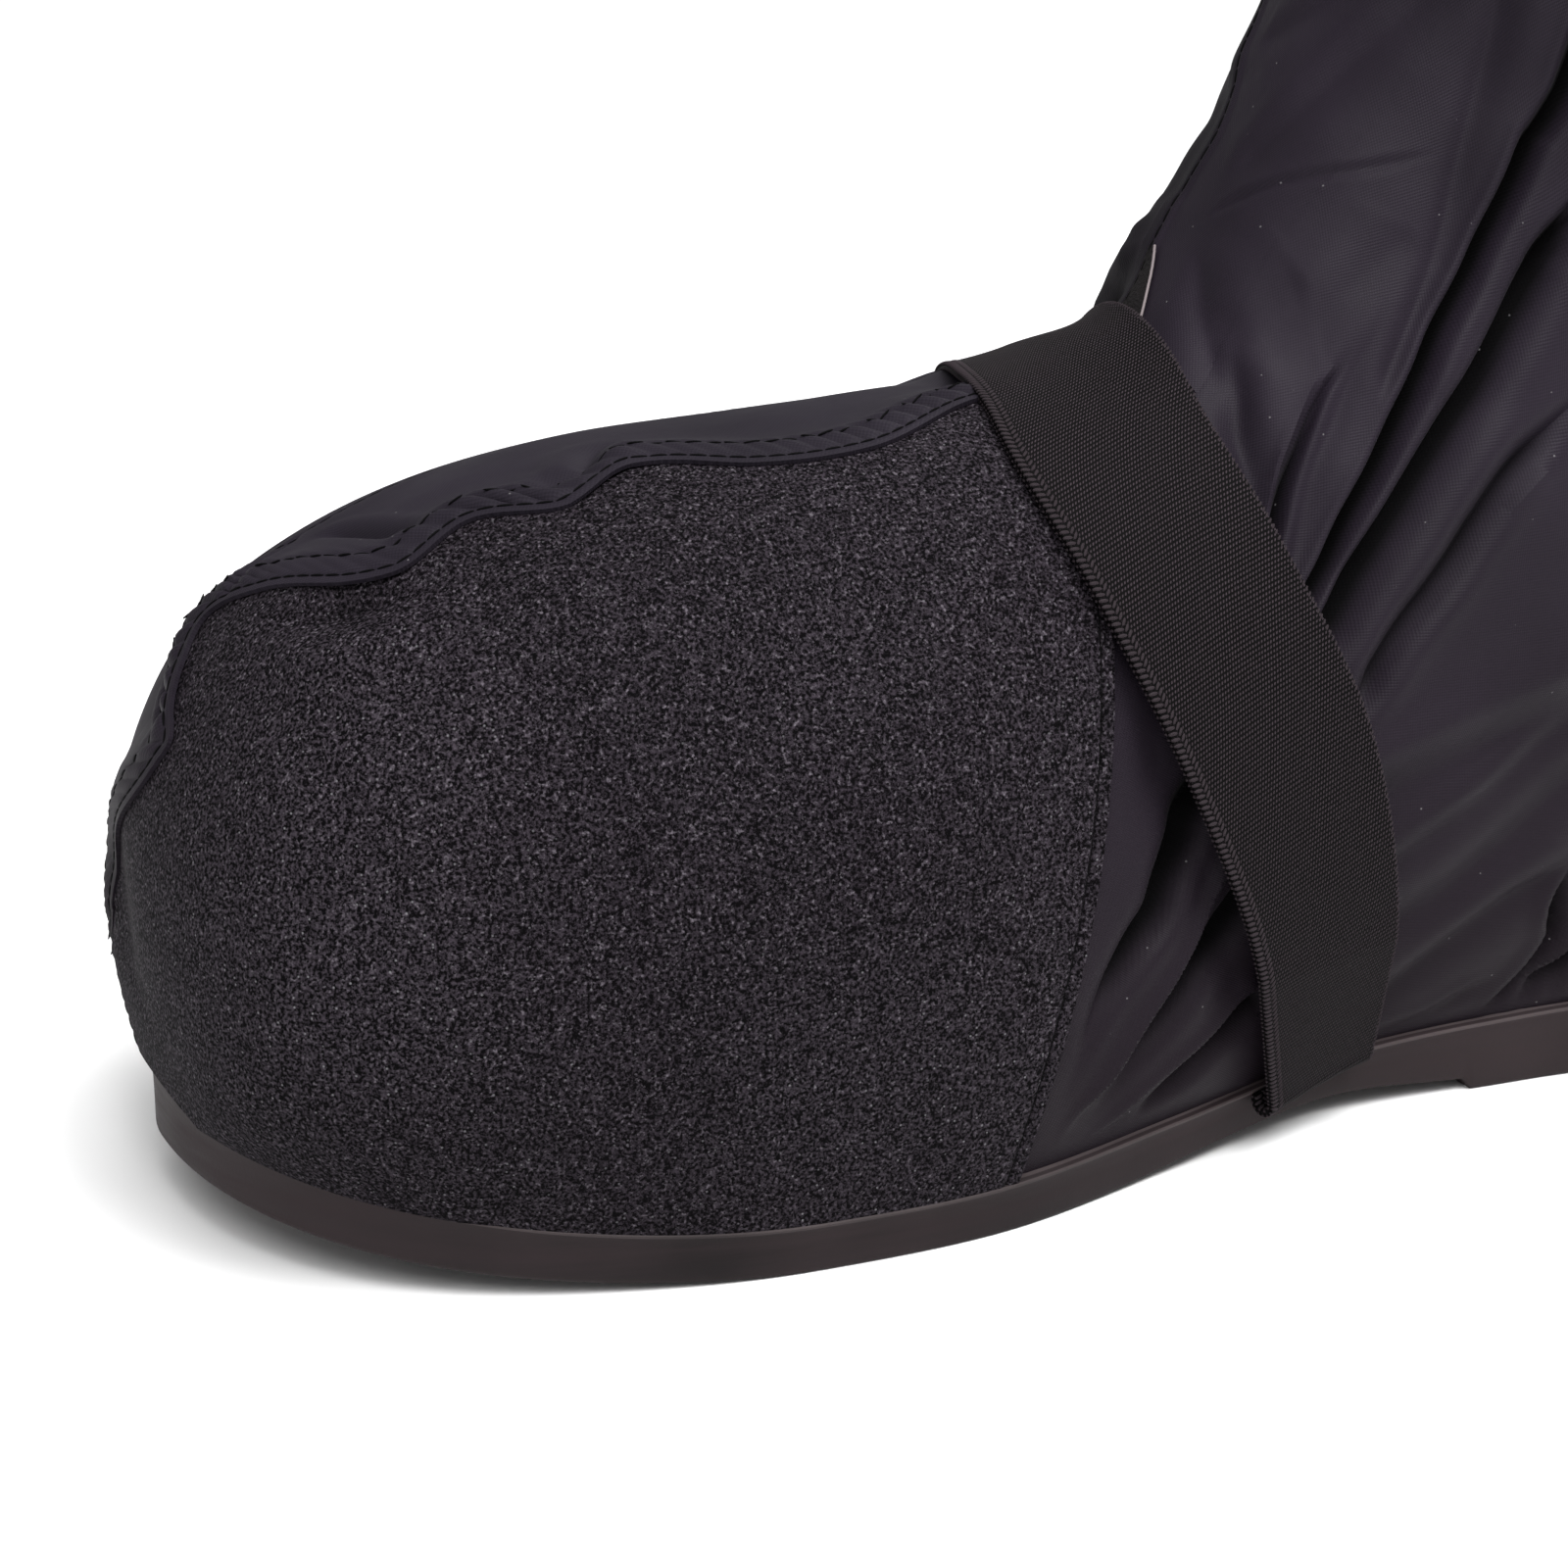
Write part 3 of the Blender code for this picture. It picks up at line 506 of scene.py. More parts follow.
# %% [markdown]
# A fold is pressed into the cloth by distance: each point finds the nearest spot of the fold's line, goes
# down close to it and up a little beside it. Towards both ends the fold gets narrower and fades out.

# %% Height of the folds
PATH_STEPS = 14
FOLD_FADE = (0.22, 0.22)
SIDE_STEP = 0.004
END_WIDTH = 0.5
TROUGH_POWER = 1.7
RIDGE_AT = 2.2
RIDGE_WIDTH = 1.2


def ramp(value, low, high):
    """Soft step from 0 at low to 1 at high."""
    u = np.clip((value - low) / (high - low), 0, 1)
    return u * u * (3 - 2 * u)


def path_places(path):
    """Section numbers and places along a smooth line through the stops of a path."""
    path = np.array(path)
    spread_out = np.linspace(0, len(path) - 1, PATH_STEPS * (len(path) - 1) + 1)
    stops = np.arange(len(path), dtype=float)
    return smooth(spread_out, stops, path[:, 0]), smooth(spread_out, stops, path[:, 1])


def gap_to_line(points, line, backward):
    """Distance of each point to a line, share along it from 0 to 1, and whether it lies on the back side."""
    best = np.full(len(points), np.inf)
    share = np.zeros(len(points))
    behind = np.zeros(len(points))
    for i, (first, second) in enumerate(zip(line, line[1:])):
        step = second - first
        along = np.clip((points - first) @ step / (step @ step), 0, 1)
        away = points - first - along[:, None] * step
        gap = np.linalg.norm(away, axis=1)
        closer = gap < best
        best[closer] = gap[closer]
        share[closer] = (i + along[closer]) / (len(line) - 1)
        behind[closer] = away[closer] @ backward[i]
    return best, share, behind > 0


def fold_lift(points, folds, fade=FOLD_FADE):
    """Height that the folds add at each point: down in the fold and up beside it, fading at both ends."""
    lift = np.zeros(len(points))
    for path, depth, front_width, back_width, front_rise, back_rise in folds:
        numbers, places = path_places(path)
        backward = on_form(numbers, places + SIDE_STEP) - on_form(numbers, places - SIDE_STEP)
        gap, share, behind = gap_to_line(points, on_form(numbers, places), backward)
        ends = ramp(np.minimum(share / fade[0], (1 - share) / fade[1]), 0, 1)
        width = np.where(behind, back_width, front_width) * (END_WIDTH + (1 - END_WIDTH) * ends)
        rise = np.where(behind, back_rise, front_rise)
        trough = np.exp(-(gap / width) ** TROUGH_POWER)
        beside = np.exp(-((gap - RIDGE_AT * width) / (RIDGE_WIDTH * width)) ** 2)
        lift += ends * (rise * beside - depth * trough)
    return lift


tuck_line = on_form(*path_places(MAIN_TUCK))
print("main tuck", round(float(run_along(tuck_line, 0)[-1])), "mm long")


# %% [markdown]
# ## Laying a piece on the form
# A flat grid is added as a primitive, and each of its points is then moved to its spot on the form, as a
# pattern piece is pulled over a last. Its map is in metres of cloth, so weaves have one size on all pieces.
# A Solidify modifier gives the wall. The folds need too many points to be pulled by hand in edit mode, so
# the points are moved in code.

# %% Helpers that lay and finish a piece
MERGE_REACH = 0.01
SMOOTH_ANGLE = math.radians(40)


def lay_grid(name, points, cloth=None):
    """Grid primitive whose points are moved to the given grid of points, with a map in metres of cloth."""
    rows, columns = points.shape[:2]
    bpy.ops.object.select_all(action="DESELECT")
    bpy.ops.mesh.primitive_grid_add(x_subdivisions=columns - 1, y_subdivisions=rows - 1, size=1)
    piece = bpy.context.object
    piece.name = name
    piece.data.name = name
    spots = to_row(points)
    piece.data.vertices.foreach_set("co", spots.reshape(-1))
    if cloth is None:
        cloth = np.stack([run_along(points, 1), run_along(points, 0)], -1)
    cloth = cloth.reshape(-1, 2) * MM
    corner = np.zeros(len(piece.data.loops), dtype=np.int32)
    piece.data.loops.foreach_get("vertex_index", corner)
    piece.data.uv_layers.active.data.foreach_set("uv", cloth[corner].reshape(-1).astype(np.float32))
    piece.data.update()
    return piece


def lay_on_form(name, numbers, places, lift):
    """Grid laid on the shoe form at a height, with the form's own cloth map."""
    points, normals, cloth = read_net(numbers, places)
    return lay_grid(name, points + normals * lift[..., None], cloth)


def merge_points(piece):
    """Join the points of a piece that lie on each other."""
    bpy.ops.object.mode_set(mode="EDIT")
    bpy.ops.mesh.select_all(action="SELECT")
    bpy.ops.mesh.remove_doubles(threshold=MERGE_REACH * MM)
    bpy.ops.object.mode_set(mode="OBJECT")


def thicken(piece, thickness, side, inner_slot=0):
    """Give a sheet its wall: side -1 grows inward, 1 outward and 0 both ways."""
    wall = piece.modifiers.new("wall", "SOLIDIFY")
    wall.thickness = thickness * MM
    wall.offset = side
    wall.use_even_offset = False
    wall.material_offset = inner_slot
    bpy.context.view_layer.objects.active = piece
    bpy.ops.object.modifier_apply(modifier="wall")


def finish_piece(piece, materials, slot, *nodes):
    """Smooth shading, materials, and the piece's place in the CAD model."""
    for material in materials:
        piece.data.materials.append(material)
    bpy.ops.object.select_all(action="DESELECT")
    piece.select_set(True)
    bpy.context.view_layer.objects.active = piece
    bpy.ops.object.shade_smooth_by_angle(angle=SMOOTH_ANGLE)
    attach(piece, "root")
    if nodes:
        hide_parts(*nodes)
    piece.data.calc_loop_triangles()
    print(piece.name, len(piece.data.loop_triangles), "triangles")


def spread(*stops):
    """Numbers through pairs of start and step, up to the last start."""
    parts = [np.arange(start, end - step / 2, step) for (start, step), (end, _) in zip(stops, stops[1:])]
    return np.concatenate(parts + [[stops[-1][0]]])


# %% [markdown]
# ## Finishes
# Four materials carry the look: coated nylon with a fine twill and a soft sheen, a grip sheet with short
# raised grains, woven elastic with rows of knots, and matte rubber. They could be painted as pictures. Here
# they are mixed from noise and wave textures on the pieces' own maps or positions, so they stay sharp at
# any size.

# %% Node helpers
PLAIN_SPECULAR = 0.5


def new_finish(name, colour, roughness, specular=PLAIN_SPECULAR):
    """Principled material and its node tree."""
    material = bpy.data.materials.new(name)
    material.use_nodes = True
    tree = material.node_tree
    shader = tree.nodes["Principled BSDF"]
    shader.inputs["Base Color"].default_value = (*colour, 1)
    shader.inputs["Roughness"].default_value = roughness
    shader.inputs["Specular IOR Level"].default_value = specular
    return material, tree, shader


def tinted(colour, share):
    """A colour made darker or lighter, by one share or by one for each channel."""
    return tuple(float(v) for v in np.array(colour) * share)


def add_node(tree, kind, sockets=None, **fields):
    """New node with its fields and socket values set; a socket value that is an output is linked."""
    made = tree.nodes.new(kind)
    for name, value in fields.items():
        setattr(made, name, value)
    for name, value in (sockets or {}).items():
        if isinstance(value, bpy.types.NodeSocket):
            tree.links.new(value, made.inputs[name])
        else:
            made.inputs[name].default_value = value
    return made


def cloth_map(tree, turn=0.0, scale=(1, 1, 1)):
    """The piece's map in metres of cloth, turned and scaled."""
    source = add_node(tree, "ShaderNodeTexCoord").outputs["UV"]
    fields = {"Vector": source, "Rotation": (0, 0, turn), "Scale": scale}
    return add_node(tree, "ShaderNodeMapping", fields).outputs["Vector"]


def position_map(tree, scale=(1, 1, 1)):
    """The position in the shoe in metres, scaled."""
    source = add_node(tree, "ShaderNodeTexCoord").outputs["Object"]
    return add_node(tree, "ShaderNodeMapping", {"Vector": source, "Scale": scale}).outputs["Vector"]


def part_of(tree, place, axis):
    """One direction of a map."""
    return add_node(tree, "ShaderNodeSeparateXYZ", {"Vector": place}).outputs[axis]


def stored_shade(tree):
    """The painted shade that is stored at the points of a piece."""
    return add_node(tree, "ShaderNodeAttribute", attribute_name="fold_shade").outputs["Fac"]


def noise(tree, place, scale, detail=2.0, rough=0.5):
    """Noise value on a map, with a scale in waves to the metre."""
    fields = {"Vector": place, "Scale": scale, "Detail": detail, "Roughness": rough}
    return add_node(tree, "ShaderNodeTexNoise", fields).outputs["Fac"]


def remap(tree, value, low, high, to_low, to_high):
    """Stretch a value from one range to another, with no overshoot."""
    fields = {"Value": value, "From Min": low, "From Max": high, "To Min": to_low, "To Max": to_high}
    return add_node(tree, "ShaderNodeMapRange", fields).outputs["Result"]


def blend(tree, share, first, second):
    """Colour between two colours or outputs."""
    mix = add_node(tree, "ShaderNodeMix", data_type="RGBA")
    tree.links.new(share, mix.inputs["Factor"])
    for name, value in (("A", first), ("B", second)):
        socket = next(s for s in mix.inputs if s.name == name and s.type == "RGBA")
        if isinstance(value, bpy.types.NodeSocket):
            tree.links.new(value, socket)
        else:
            socket.default_value = (*value, 1)
    return next(s for s in mix.outputs if s.type == "RGBA")


def bump(tree, height, depth, strength, under=None):
    """Bump normal from a height in millimetres of depth, over another normal."""
    fields = {"Height": height, "Distance": depth * MM, "Strength": strength}
    if under is not None:
        fields["Normal"] = under
    return add_node(tree, "ShaderNodeBump", fields).outputs["Normal"]


def wave(tree, place, pitch):
    """Bands of a pitch in millimetres across the first direction of a map."""
    fields = {"Vector": place, "Scale": math.pi / 10 / (pitch * MM), "Distortion": 0.0, "Detail": 0.0}
    return add_node(tree, "ShaderNodeTexWave", fields, wave_type="BANDS", bands_direction="X").outputs["Fac"]


def math_node(tree, operation, first, second):
    """Result of one sum on two values."""
    made = add_node(tree, "ShaderNodeMath", operation=operation)
    for socket, value in zip(made.inputs, (first, second)):
        if isinstance(value, bpy.types.NodeSocket):
            tree.links.new(value, socket)
        else:
            socket.default_value = value
    return made.outputs["Value"]


def picked_cells(tree, place, scale, above):
    """Distance from the middle of each cell of a net, and 1 in the cells that chance picks."""
    cells = add_node(tree, "ShaderNodeTexVoronoi", {"Vector": place, "Scale": scale})
    chance = add_node(tree, "ShaderNodeSeparateColor", {"Color": cells.outputs["Color"]}).outputs["Red"]
    return cells.outputs["Distance"], math_node(tree, "GREATER_THAN", chance, above)


def fuzzy_finish(name, colour, roughness, specular, scale, depth, strength):
    """Plain material with a fine noise as its relief."""
    material, tree, shader = new_finish(name, colour, roughness, specular)
    fuzz = noise(tree, position_map(tree), scale)
    tree.links.new(bump(tree, fuzz, depth, strength), shader.inputs["Normal"])
    return material


# %% [markdown]
# The nylon is a fine twill with a thin coating. Twill shows as slanted lines under half a millimetre apart,
# and the coating gives a broad soft highlight. Shade is painted into the colour in deep folds, which are
# also duller, and the cloth is darker near the sole. A slow noise crumples it a little, and rare pale
# specks are lint.

# %% Coated nylon
TWILL = (math.radians(38), 0.42)
CROSS_TWILL = (math.radians(-50), 0.50)
CROSS_SHARE = 0.6
TWILL_TONE = 0.34
CLOTH_TONES = (0.60, 1.40)
SOLE_TONE = (0.56, 0.44, 0.42)
SOLE_TONE_HEIGHTS = (0.02, 0.11)
FOLD_SHADE_TONE = 0.06
FOLD_DULLNESS = 0.35
LINT_CELLS = 260.0
LINT_CHANCE = 0.6
LINT_SIZE = 0.045
LINT_COLOUR = (0.10, 0.095, 0.10)
SHEEN_SHARE = 0.1
SHEEN_ROUGHNESS = 0.35


def twill_lines(tree, twill):
    """Slanted lines of a twill with a turn and a pitch."""
    turn, pitch = twill
    return wave(tree, cloth_map(tree, turn), pitch)


def coated_nylon(name, colour, roughness, crumple, shine):
    """Black coated twill with lint, and painted shade where the piece stores it."""
    material, tree, shader = new_finish(name, colour, roughness, shine)
    place = position_map(tree)
    cross = math_node(tree, "MULTIPLY", twill_lines(tree, CROSS_TWILL), CROSS_SHARE)
    weave = math_node(tree, "ADD", twill_lines(tree, TWILL), cross)
    tone = remap(tree, noise(tree, place, 26.0, 3.0), 0.3, 0.7, 0.0, 0.55)
    tone = math_node(tree, "ADD", tone, math_node(tree, "MULTIPLY", weave, TWILL_TONE))
    cloth = blend(tree, tone, *(tinted(colour, share) for share in CLOTH_TONES))
    near_sole = remap(tree, part_of(tree, place, "Z"), *SOLE_TONE_HEIGHTS, 0.75, 0.0)
    cloth = blend(tree, near_sole, cloth, tinted(colour, SOLE_TONE))
    # Painted shade: the stored shade darkens the colour in deep folds, in the gusset and on the flap's hem.
    depth = stored_shade(tree)
    cloth = blend(tree, depth, cloth, tinted(colour, FOLD_SHADE_TONE))
    distance, picked = picked_cells(tree, place, LINT_CELLS, LINT_CHANCE)
    lint = math_node(tree, "MULTIPLY", math_node(tree, "LESS_THAN", distance, LINT_SIZE), picked)
    tree.links.new(blend(tree, lint, cloth, LINT_COLOUR), shader.inputs["Base Color"])
    gloss = remap(tree, noise(tree, place, 60.0, 4.0), 0.3, 0.7, roughness - 0.05, roughness + 0.07)
    gloss = math_node(tree, "ADD", gloss, math_node(tree, "MULTIPLY", depth, FOLD_DULLNESS))
    tree.links.new(gloss, shader.inputs["Roughness"])
    shader.inputs["Sheen Weight"].default_value = SHEEN_SHARE * shine
    shader.inputs["Sheen Roughness"].default_value = SHEEN_ROUGHNESS
    broad = bump(tree, noise(tree, place, 34.0, 2.0), 3.0, 0.7 * crumple)
    crumpled = bump(tree, noise(tree, place, 95.0, 3.0, 0.55), 1.0, crumple, broad)
    tree.links.new(bump(tree, weave, 0.045, 0.6, crumpled), shader.inputs["Normal"])
    return material


LINING_TWILL = (math.radians(45), 0.8)
NYLON_COLOUR = (0.0122, 0.0090, 0.0142)
STRIP_COLOUR = (0.0140, 0.0115, 0.0165)
NYLON = coated_nylon("coated_nylon", NYLON_COLOUR, roughness=0.55, crumple=0.20, shine=0.10)
STRIP_NYLON = coated_nylon("strip_nylon", STRIP_COLOUR, roughness=0.60, crumple=0.26, shine=0.06)
LINING, lining_tree, lining_shader = new_finish("plain_lining", (0.014, 0.014, 0.015), roughness=0.75)
lining_bump = bump(lining_tree, twill_lines(lining_tree, LINING_TWILL), depth=0.08, strength=0.5)
lining_tree.links.new(lining_bump, lining_shader.inputs["Normal"])
print("nylon finishes made")


# %% [markdown]
# The toe panels are a rubbery sheet with short raised grains, about half a millimetre across. A fine noise
# gives the grains and the pits between them, and the near-black of the pits is painted shade. A second
# noise paints highlights on some grains, and sparse cells pick painted glints. The sheet is a little
# darker near the sole, and painted shade darkens its hollows and the line of its seam.

# %% Grip sheet
GRAIN_TONES = ((0.031, 0.0248, 0.0320), (0.047, 0.0385, 0.0485))
# Painted highlight on some of the grains.
PAINTED_GRAIN_HIGHLIGHT = (0.120, 0.105, 0.123)
# Painted shade in the pits between the grains.
PAINTED_PIT_SHADE = (0.0010, 0.0007, 0.0011)
LOW_PANEL_COLOUR = (0.0012, 0.0008, 0.0010)
PAINTED_SEAM_AND_HOLLOW_SHADE = (0.0005, 0.0004, 0.0005)
PAINTED_GLINT_COLOUR = (0.15, 0.145, 0.155)
GLINT_CELLS = 1000.0
GLINT_CHANCE = 0.80


def grip_sheet():
    """Matte sheet with short raised grains, with painted highlights, glints and shade."""
    material, tree, shader = new_finish("grip_sheet", GRAIN_TONES[0], roughness=0.65, specular=0.05)
    place = position_map(tree)
    grain = remap(tree, noise(tree, place, 1900.0, 2.0, 0.6), 0.42, 0.68, 0.0, 1.0)
    painted_highlight = remap(tree, noise(tree, place, 1500.0, 1.0), 0.55, 0.72, 0.0, 1.0)
    cloud = remap(tree, noise(tree, place, 14.0, 2.0), 0.35, 0.65, 0.0, 1.0)
    grain_tone = blend(tree, painted_highlight, blend(tree, cloud, *GRAIN_TONES), PAINTED_GRAIN_HIGHLIGHT)
    tone = blend(tree, grain, PAINTED_PIT_SHADE, grain_tone)
    near_sole = remap(tree, part_of(tree, place, "Z"), 0.01, 0.09, 0.30, 0.0)
    tone = blend(tree, near_sole, tone, LOW_PANEL_COLOUR)
    # Painted shade along the seam's groove and in the deeper hollows.
    seam = stored_shade(tree)
    tone = blend(tree, seam, tone, PAINTED_SEAM_AND_HOLLOW_SHADE)
    # Painted glints in sparse cells, kept off the painted shade of the seam.
    distance, picked = picked_cells(tree, place, GLINT_CELLS, GLINT_CHANCE)
    painted_glint = math_node(tree, "MULTIPLY", remap(tree, distance, 0.10, 0.24, 1.0, 0.0), picked)
    painted_glint = math_node(tree, "MULTIPLY", painted_glint, remap(tree, cloud, 0.0, 1.0, 0.35, 0.9))
    painted_glint = math_node(tree, "MULTIPLY", painted_glint, remap(tree, seam, 0.2, 0.8, 1.0, 0.0))
    tree.links.new(blend(tree, painted_glint, tone, PAINTED_GLINT_COLOUR), shader.inputs["Base Color"])
    tree.links.new(remap(tree, grain, 0.0, 1.0, 0.85, 0.62), shader.inputs["Roughness"])
    tree.links.new(bump(tree, grain, 0.22, 0.7), shader.inputs["Normal"])
    return material


GRIP = grip_sheet()
print("grip sheet made")


# %% [markdown]
# The elastic is woven in rows of small slanted knots that run across it at a slight lean. Two sets of bands
# that cross give just that: one for the rows and one for the slant, and a knot stands wherever both are
# high. The knots' lighter colour is partly painted highlight, and the near-black between them is painted
# shade. Light is painted onto the knots towards the top of the strap, and a dark line of painted shade
# runs beside its bound front edge.

# %% Woven elastic
KNOT_ROWS = (math.radians(6), 0.75)
KNOT_SLANTS = (math.radians(62), 0.54)
# Knot tones are partly painted highlight; the upper tone is painted light towards the top of the strap.
KNOT_TONES = ((0.026, 0.0195, 0.0230), (0.041, 0.0320, 0.0375))
PAINTED_LIGHT_HEIGHTS = (0.03, 0.13)
# Painted shade between the knots and beside the front edge.
PAINTED_KNOT_AND_EDGE_SHADE = (0.0007, 0.0005, 0.0006)
EDGE_SHADE_REACH = (0.0022, 0.0030)


def woven_elastic():
    """Matte black elastic with rows of slanted knots, with painted light on the knots and painted shade
    between them.
    """
    material, tree, shader = new_finish("woven_elastic", KNOT_TONES[0], roughness=0.75, specular=0.07)
    place = position_map(tree)
    rows, slants = twill_lines(tree, KNOT_ROWS), twill_lines(tree, KNOT_SLANTS)
    fuzz = math_node(tree, "SUBTRACT", noise(tree, place, 1800.0), 0.5)
    worn = math_node(tree, "MULTIPLY", fuzz, 0.5)
    woven = math_node(tree, "ADD", math_node(tree, "MULTIPLY", rows, slants), worn)
    knots = remap(tree, woven, 0.10, 0.66, 0.0, 1.0)
    # Painted light: the knots get lighter towards the top of the strap.
    painted_light_towards_top = remap(tree, part_of(tree, place, "Z"), *PAINTED_LIGHT_HEIGHTS, 0.0, 1.0)
    colour = blend(tree, knots, PAINTED_KNOT_AND_EDGE_SHADE, blend(tree, painted_light_towards_top, *KNOT_TONES))
    # Painted shade in a band beside the bound front edge.
    painted_edge_shade = remap(tree, part_of(tree, cloth_map(tree), "Y"), *EDGE_SHADE_REACH, 0.85, 0.0)
    tree.links.new(blend(tree, painted_edge_shade, colour, PAINTED_KNOT_AND_EDGE_SHADE), shader.inputs["Base Color"])
    tree.links.new(bump(tree, knots, 0.30, 0.8), shader.inputs["Normal"])
    return material


ELASTIC = woven_elastic()
# Thread colour: black thread, made near-black as painted shade of the seam grooves.
THREAD_AND_GROOVE_SHADE_COLOUR = (0.0012, 0.0011, 0.0013)
THREAD, thread_tree, thread_shader = new_finish("sewing_thread", THREAD_AND_GROOVE_SHADE_COLOUR, roughness=0.7, specular=0.05)
thread_twist = wave(thread_tree, position_map(thread_tree), pitch=0.25)
thread_bump = bump(thread_tree, thread_twist, depth=0.05, strength=0.5)
thread_tree.links.new(thread_bump, thread_shader.inputs["Normal"])
print("elastic and thread made")


# %% [markdown]
# The sole is matte black rubber that has picked up a little grey, most of all by the heel and by the toe.
# Faint streaks run along it where it was pulled from its mould and rubbed. They are noise, stretched along
# the sole.

# %% Sole rubber
RUBBER_TONES = (0.50, 1.60)
RUBBED_TONE = 2.2
RUBBED_HEEL = (-0.06, 0.06)
RUBBED_TOE = (0.09, 0.155)
STREAK_STRETCH = (14.0, 40.0, 420.0)


def sole_rubber(name, colour):
    """Matte rubber with faint streaks along the sole."""
    material, tree, shader = new_finish(name, colour, roughness=0.6, specular=0.14)
    place = position_map(tree)
    streaks = noise(tree, position_map(tree, STREAK_STRETCH), 1.0, 4.0, 0.6)
    clouds = noise(tree, place, 30.0, 4.0)
    share = remap(tree, math_node(tree, "ADD", streaks, clouds), 0.75, 1.3, 0.0, 1.0)
    rubber = blend(tree, share, *(tinted(colour, tone) for tone in RUBBER_TONES))
    length = part_of(tree, place, "X")
    by_heel = remap(tree, length, *RUBBED_HEEL, 0.45, 0.0)
    by_toe = remap(tree, length, *RUBBED_TOE, 0.0, 0.60)
    rubbed = math_node(tree, "MAXIMUM", by_heel, by_toe)
    rubber = blend(tree, rubbed, rubber, tinted(colour, RUBBED_TONE))
    tree.links.new(rubber, shader.inputs["Base Color"])
    tree.links.new(remap(tree, streaks, 0.3, 0.7, 0.52, 0.68), shader.inputs["Roughness"])
    tree.links.new(bump(tree, noise(tree, place, 1500.0, 3.0), 0.08, 0.35), shader.inputs["Normal"])
    return material


RUBBER = sole_rubber("sole_rubber", (0.0120, 0.0080, 0.0088))
LIP_RUBBER = sole_rubber("lip_rubber", (0.034, 0.0265, 0.0275))
print("rubber made")


# %% [markdown]
# The floor is plain pale paper. It gets no pattern, so that only the shoe's soft shadow shows on it.

# %% Floor finish
PAPER = new_finish("pale_floor", (0.95, 0.95, 0.95), roughness=0.85)[0]
floor.data.materials.append(PAPER)
print("floor finish", PAPER.name)


# %% [markdown]
# ## Upper
# The upper is foot and shaft in one thin shell. It is laid as two sheets that meet unseen under the strap:
# the vamp around the foot and the shaft behind it. Folds fade out at the sole edge and under the toe
# panels, and the top edge is turned over into a hem. The upper also sinks a little where the flap and the
# toe panels lie on it.

# %% Height of the cloth over the form
PANEL_SEAM_AT_RIDGE = 10.3
PANEL_SEAM_LEAN = 2.35
COVER_FROM_SEAM = (0.2, 0.9)
COVER_FROM_TOE = (0.4, 1.4)
COVER_FROM_SOLE = (0.03, 0.12)
COVERED_DROP = 3.8
HEM_FROM = 25.45
HEM_STEP = 0.5
HEM_SOFTNESS = 0.02
HEM_CALM_FROM = 23.0
HEM_FOLDS = 0.3
# Slow swells of the cloth: length in millimetres and direction.
SWELLS = (
    (34, (0.8, 0.1, 0.6)),
    (23, (0.3, 0.2, -0.9)),
    (17, (-0.6, 0.3, 0.7)),
    (41, (0.9, -0.2, -0.3)),
)
SWELL_HEIGHT = 0.10
TUCK_FADE = (0.1, 0.12)
SHORT_FADE = (0.15, 0.6)
PLEAT_FADE = (0.12, 0.4)
HIGHEST_FOLD = 2.0
CLEAR_OF_SEAM = (-0.05, 0.45)
CLEAR_OF_SOLE = (0.0, 0.05)
SHAFT_BACK = (18.5, 20.0)
FLAP_COLUMNS = ("section", "lateral", "medial")
FLAP_EDGES = (
    (11.7, 0.17, -0.042),
    (12.35, 0.14, -0.046),
    (12.9, 0.13, -0.050),
    (13.7, 0.12, -0.052),
    (14.35, 0.12, -0.045),
    (14.8, 0.12, -0.043),
    (15.35, 0.12, -0.050),
    (16.4, 0.12, -0.068),
    (17.45, 0.12, -0.080),
    (20.0, 0.12, -0.070),
    (COLLAR, 0.12, -0.045),
)
FLAP_SEAT = 1.3
SEAT_LATERAL = (0.003, 0.02)
SEAT_MEDIAL = (0.005, 0.02)
SEAT_START = (11.5, 11.7)


def flap_edge(numbers, name):
    """Place of one edge of the front flap at section numbers."""
    sections = column(FLAP_EDGES, FLAP_COLUMNS, "section")
    return np.interp(numbers, sections, column(FLAP_EDGES, FLAP_COLUMNS, name))


def soft_waves(points):
    """Slow uneven swell of the cloth, from a few fixed waves across one another."""
    swell = np.zeros(len(points))
    for length, direction in SWELLS:
        swell += np.sin(points @ np.array(direction) * 2 * np.pi / length + length)
    return swell * SWELL_HEIGHT


def panel_seam(places):
    """Section number of the toe panels' rear seam at places across."""
    return PANEL_SEAM_AT_RIDGE - PANEL_SEAM_LEAN * np.abs(places)


def covered_share(numbers, places):
    """Share from 0 to 1 by which a spot lies well under the toe panels."""
    lengthwise = ramp(panel_seam(places) - numbers, *COVER_FROM_SEAM) * ramp(numbers, *COVER_FROM_TOE)
    return lengthwise * ramp(1 - np.abs(places), *COVER_FROM_SOLE)


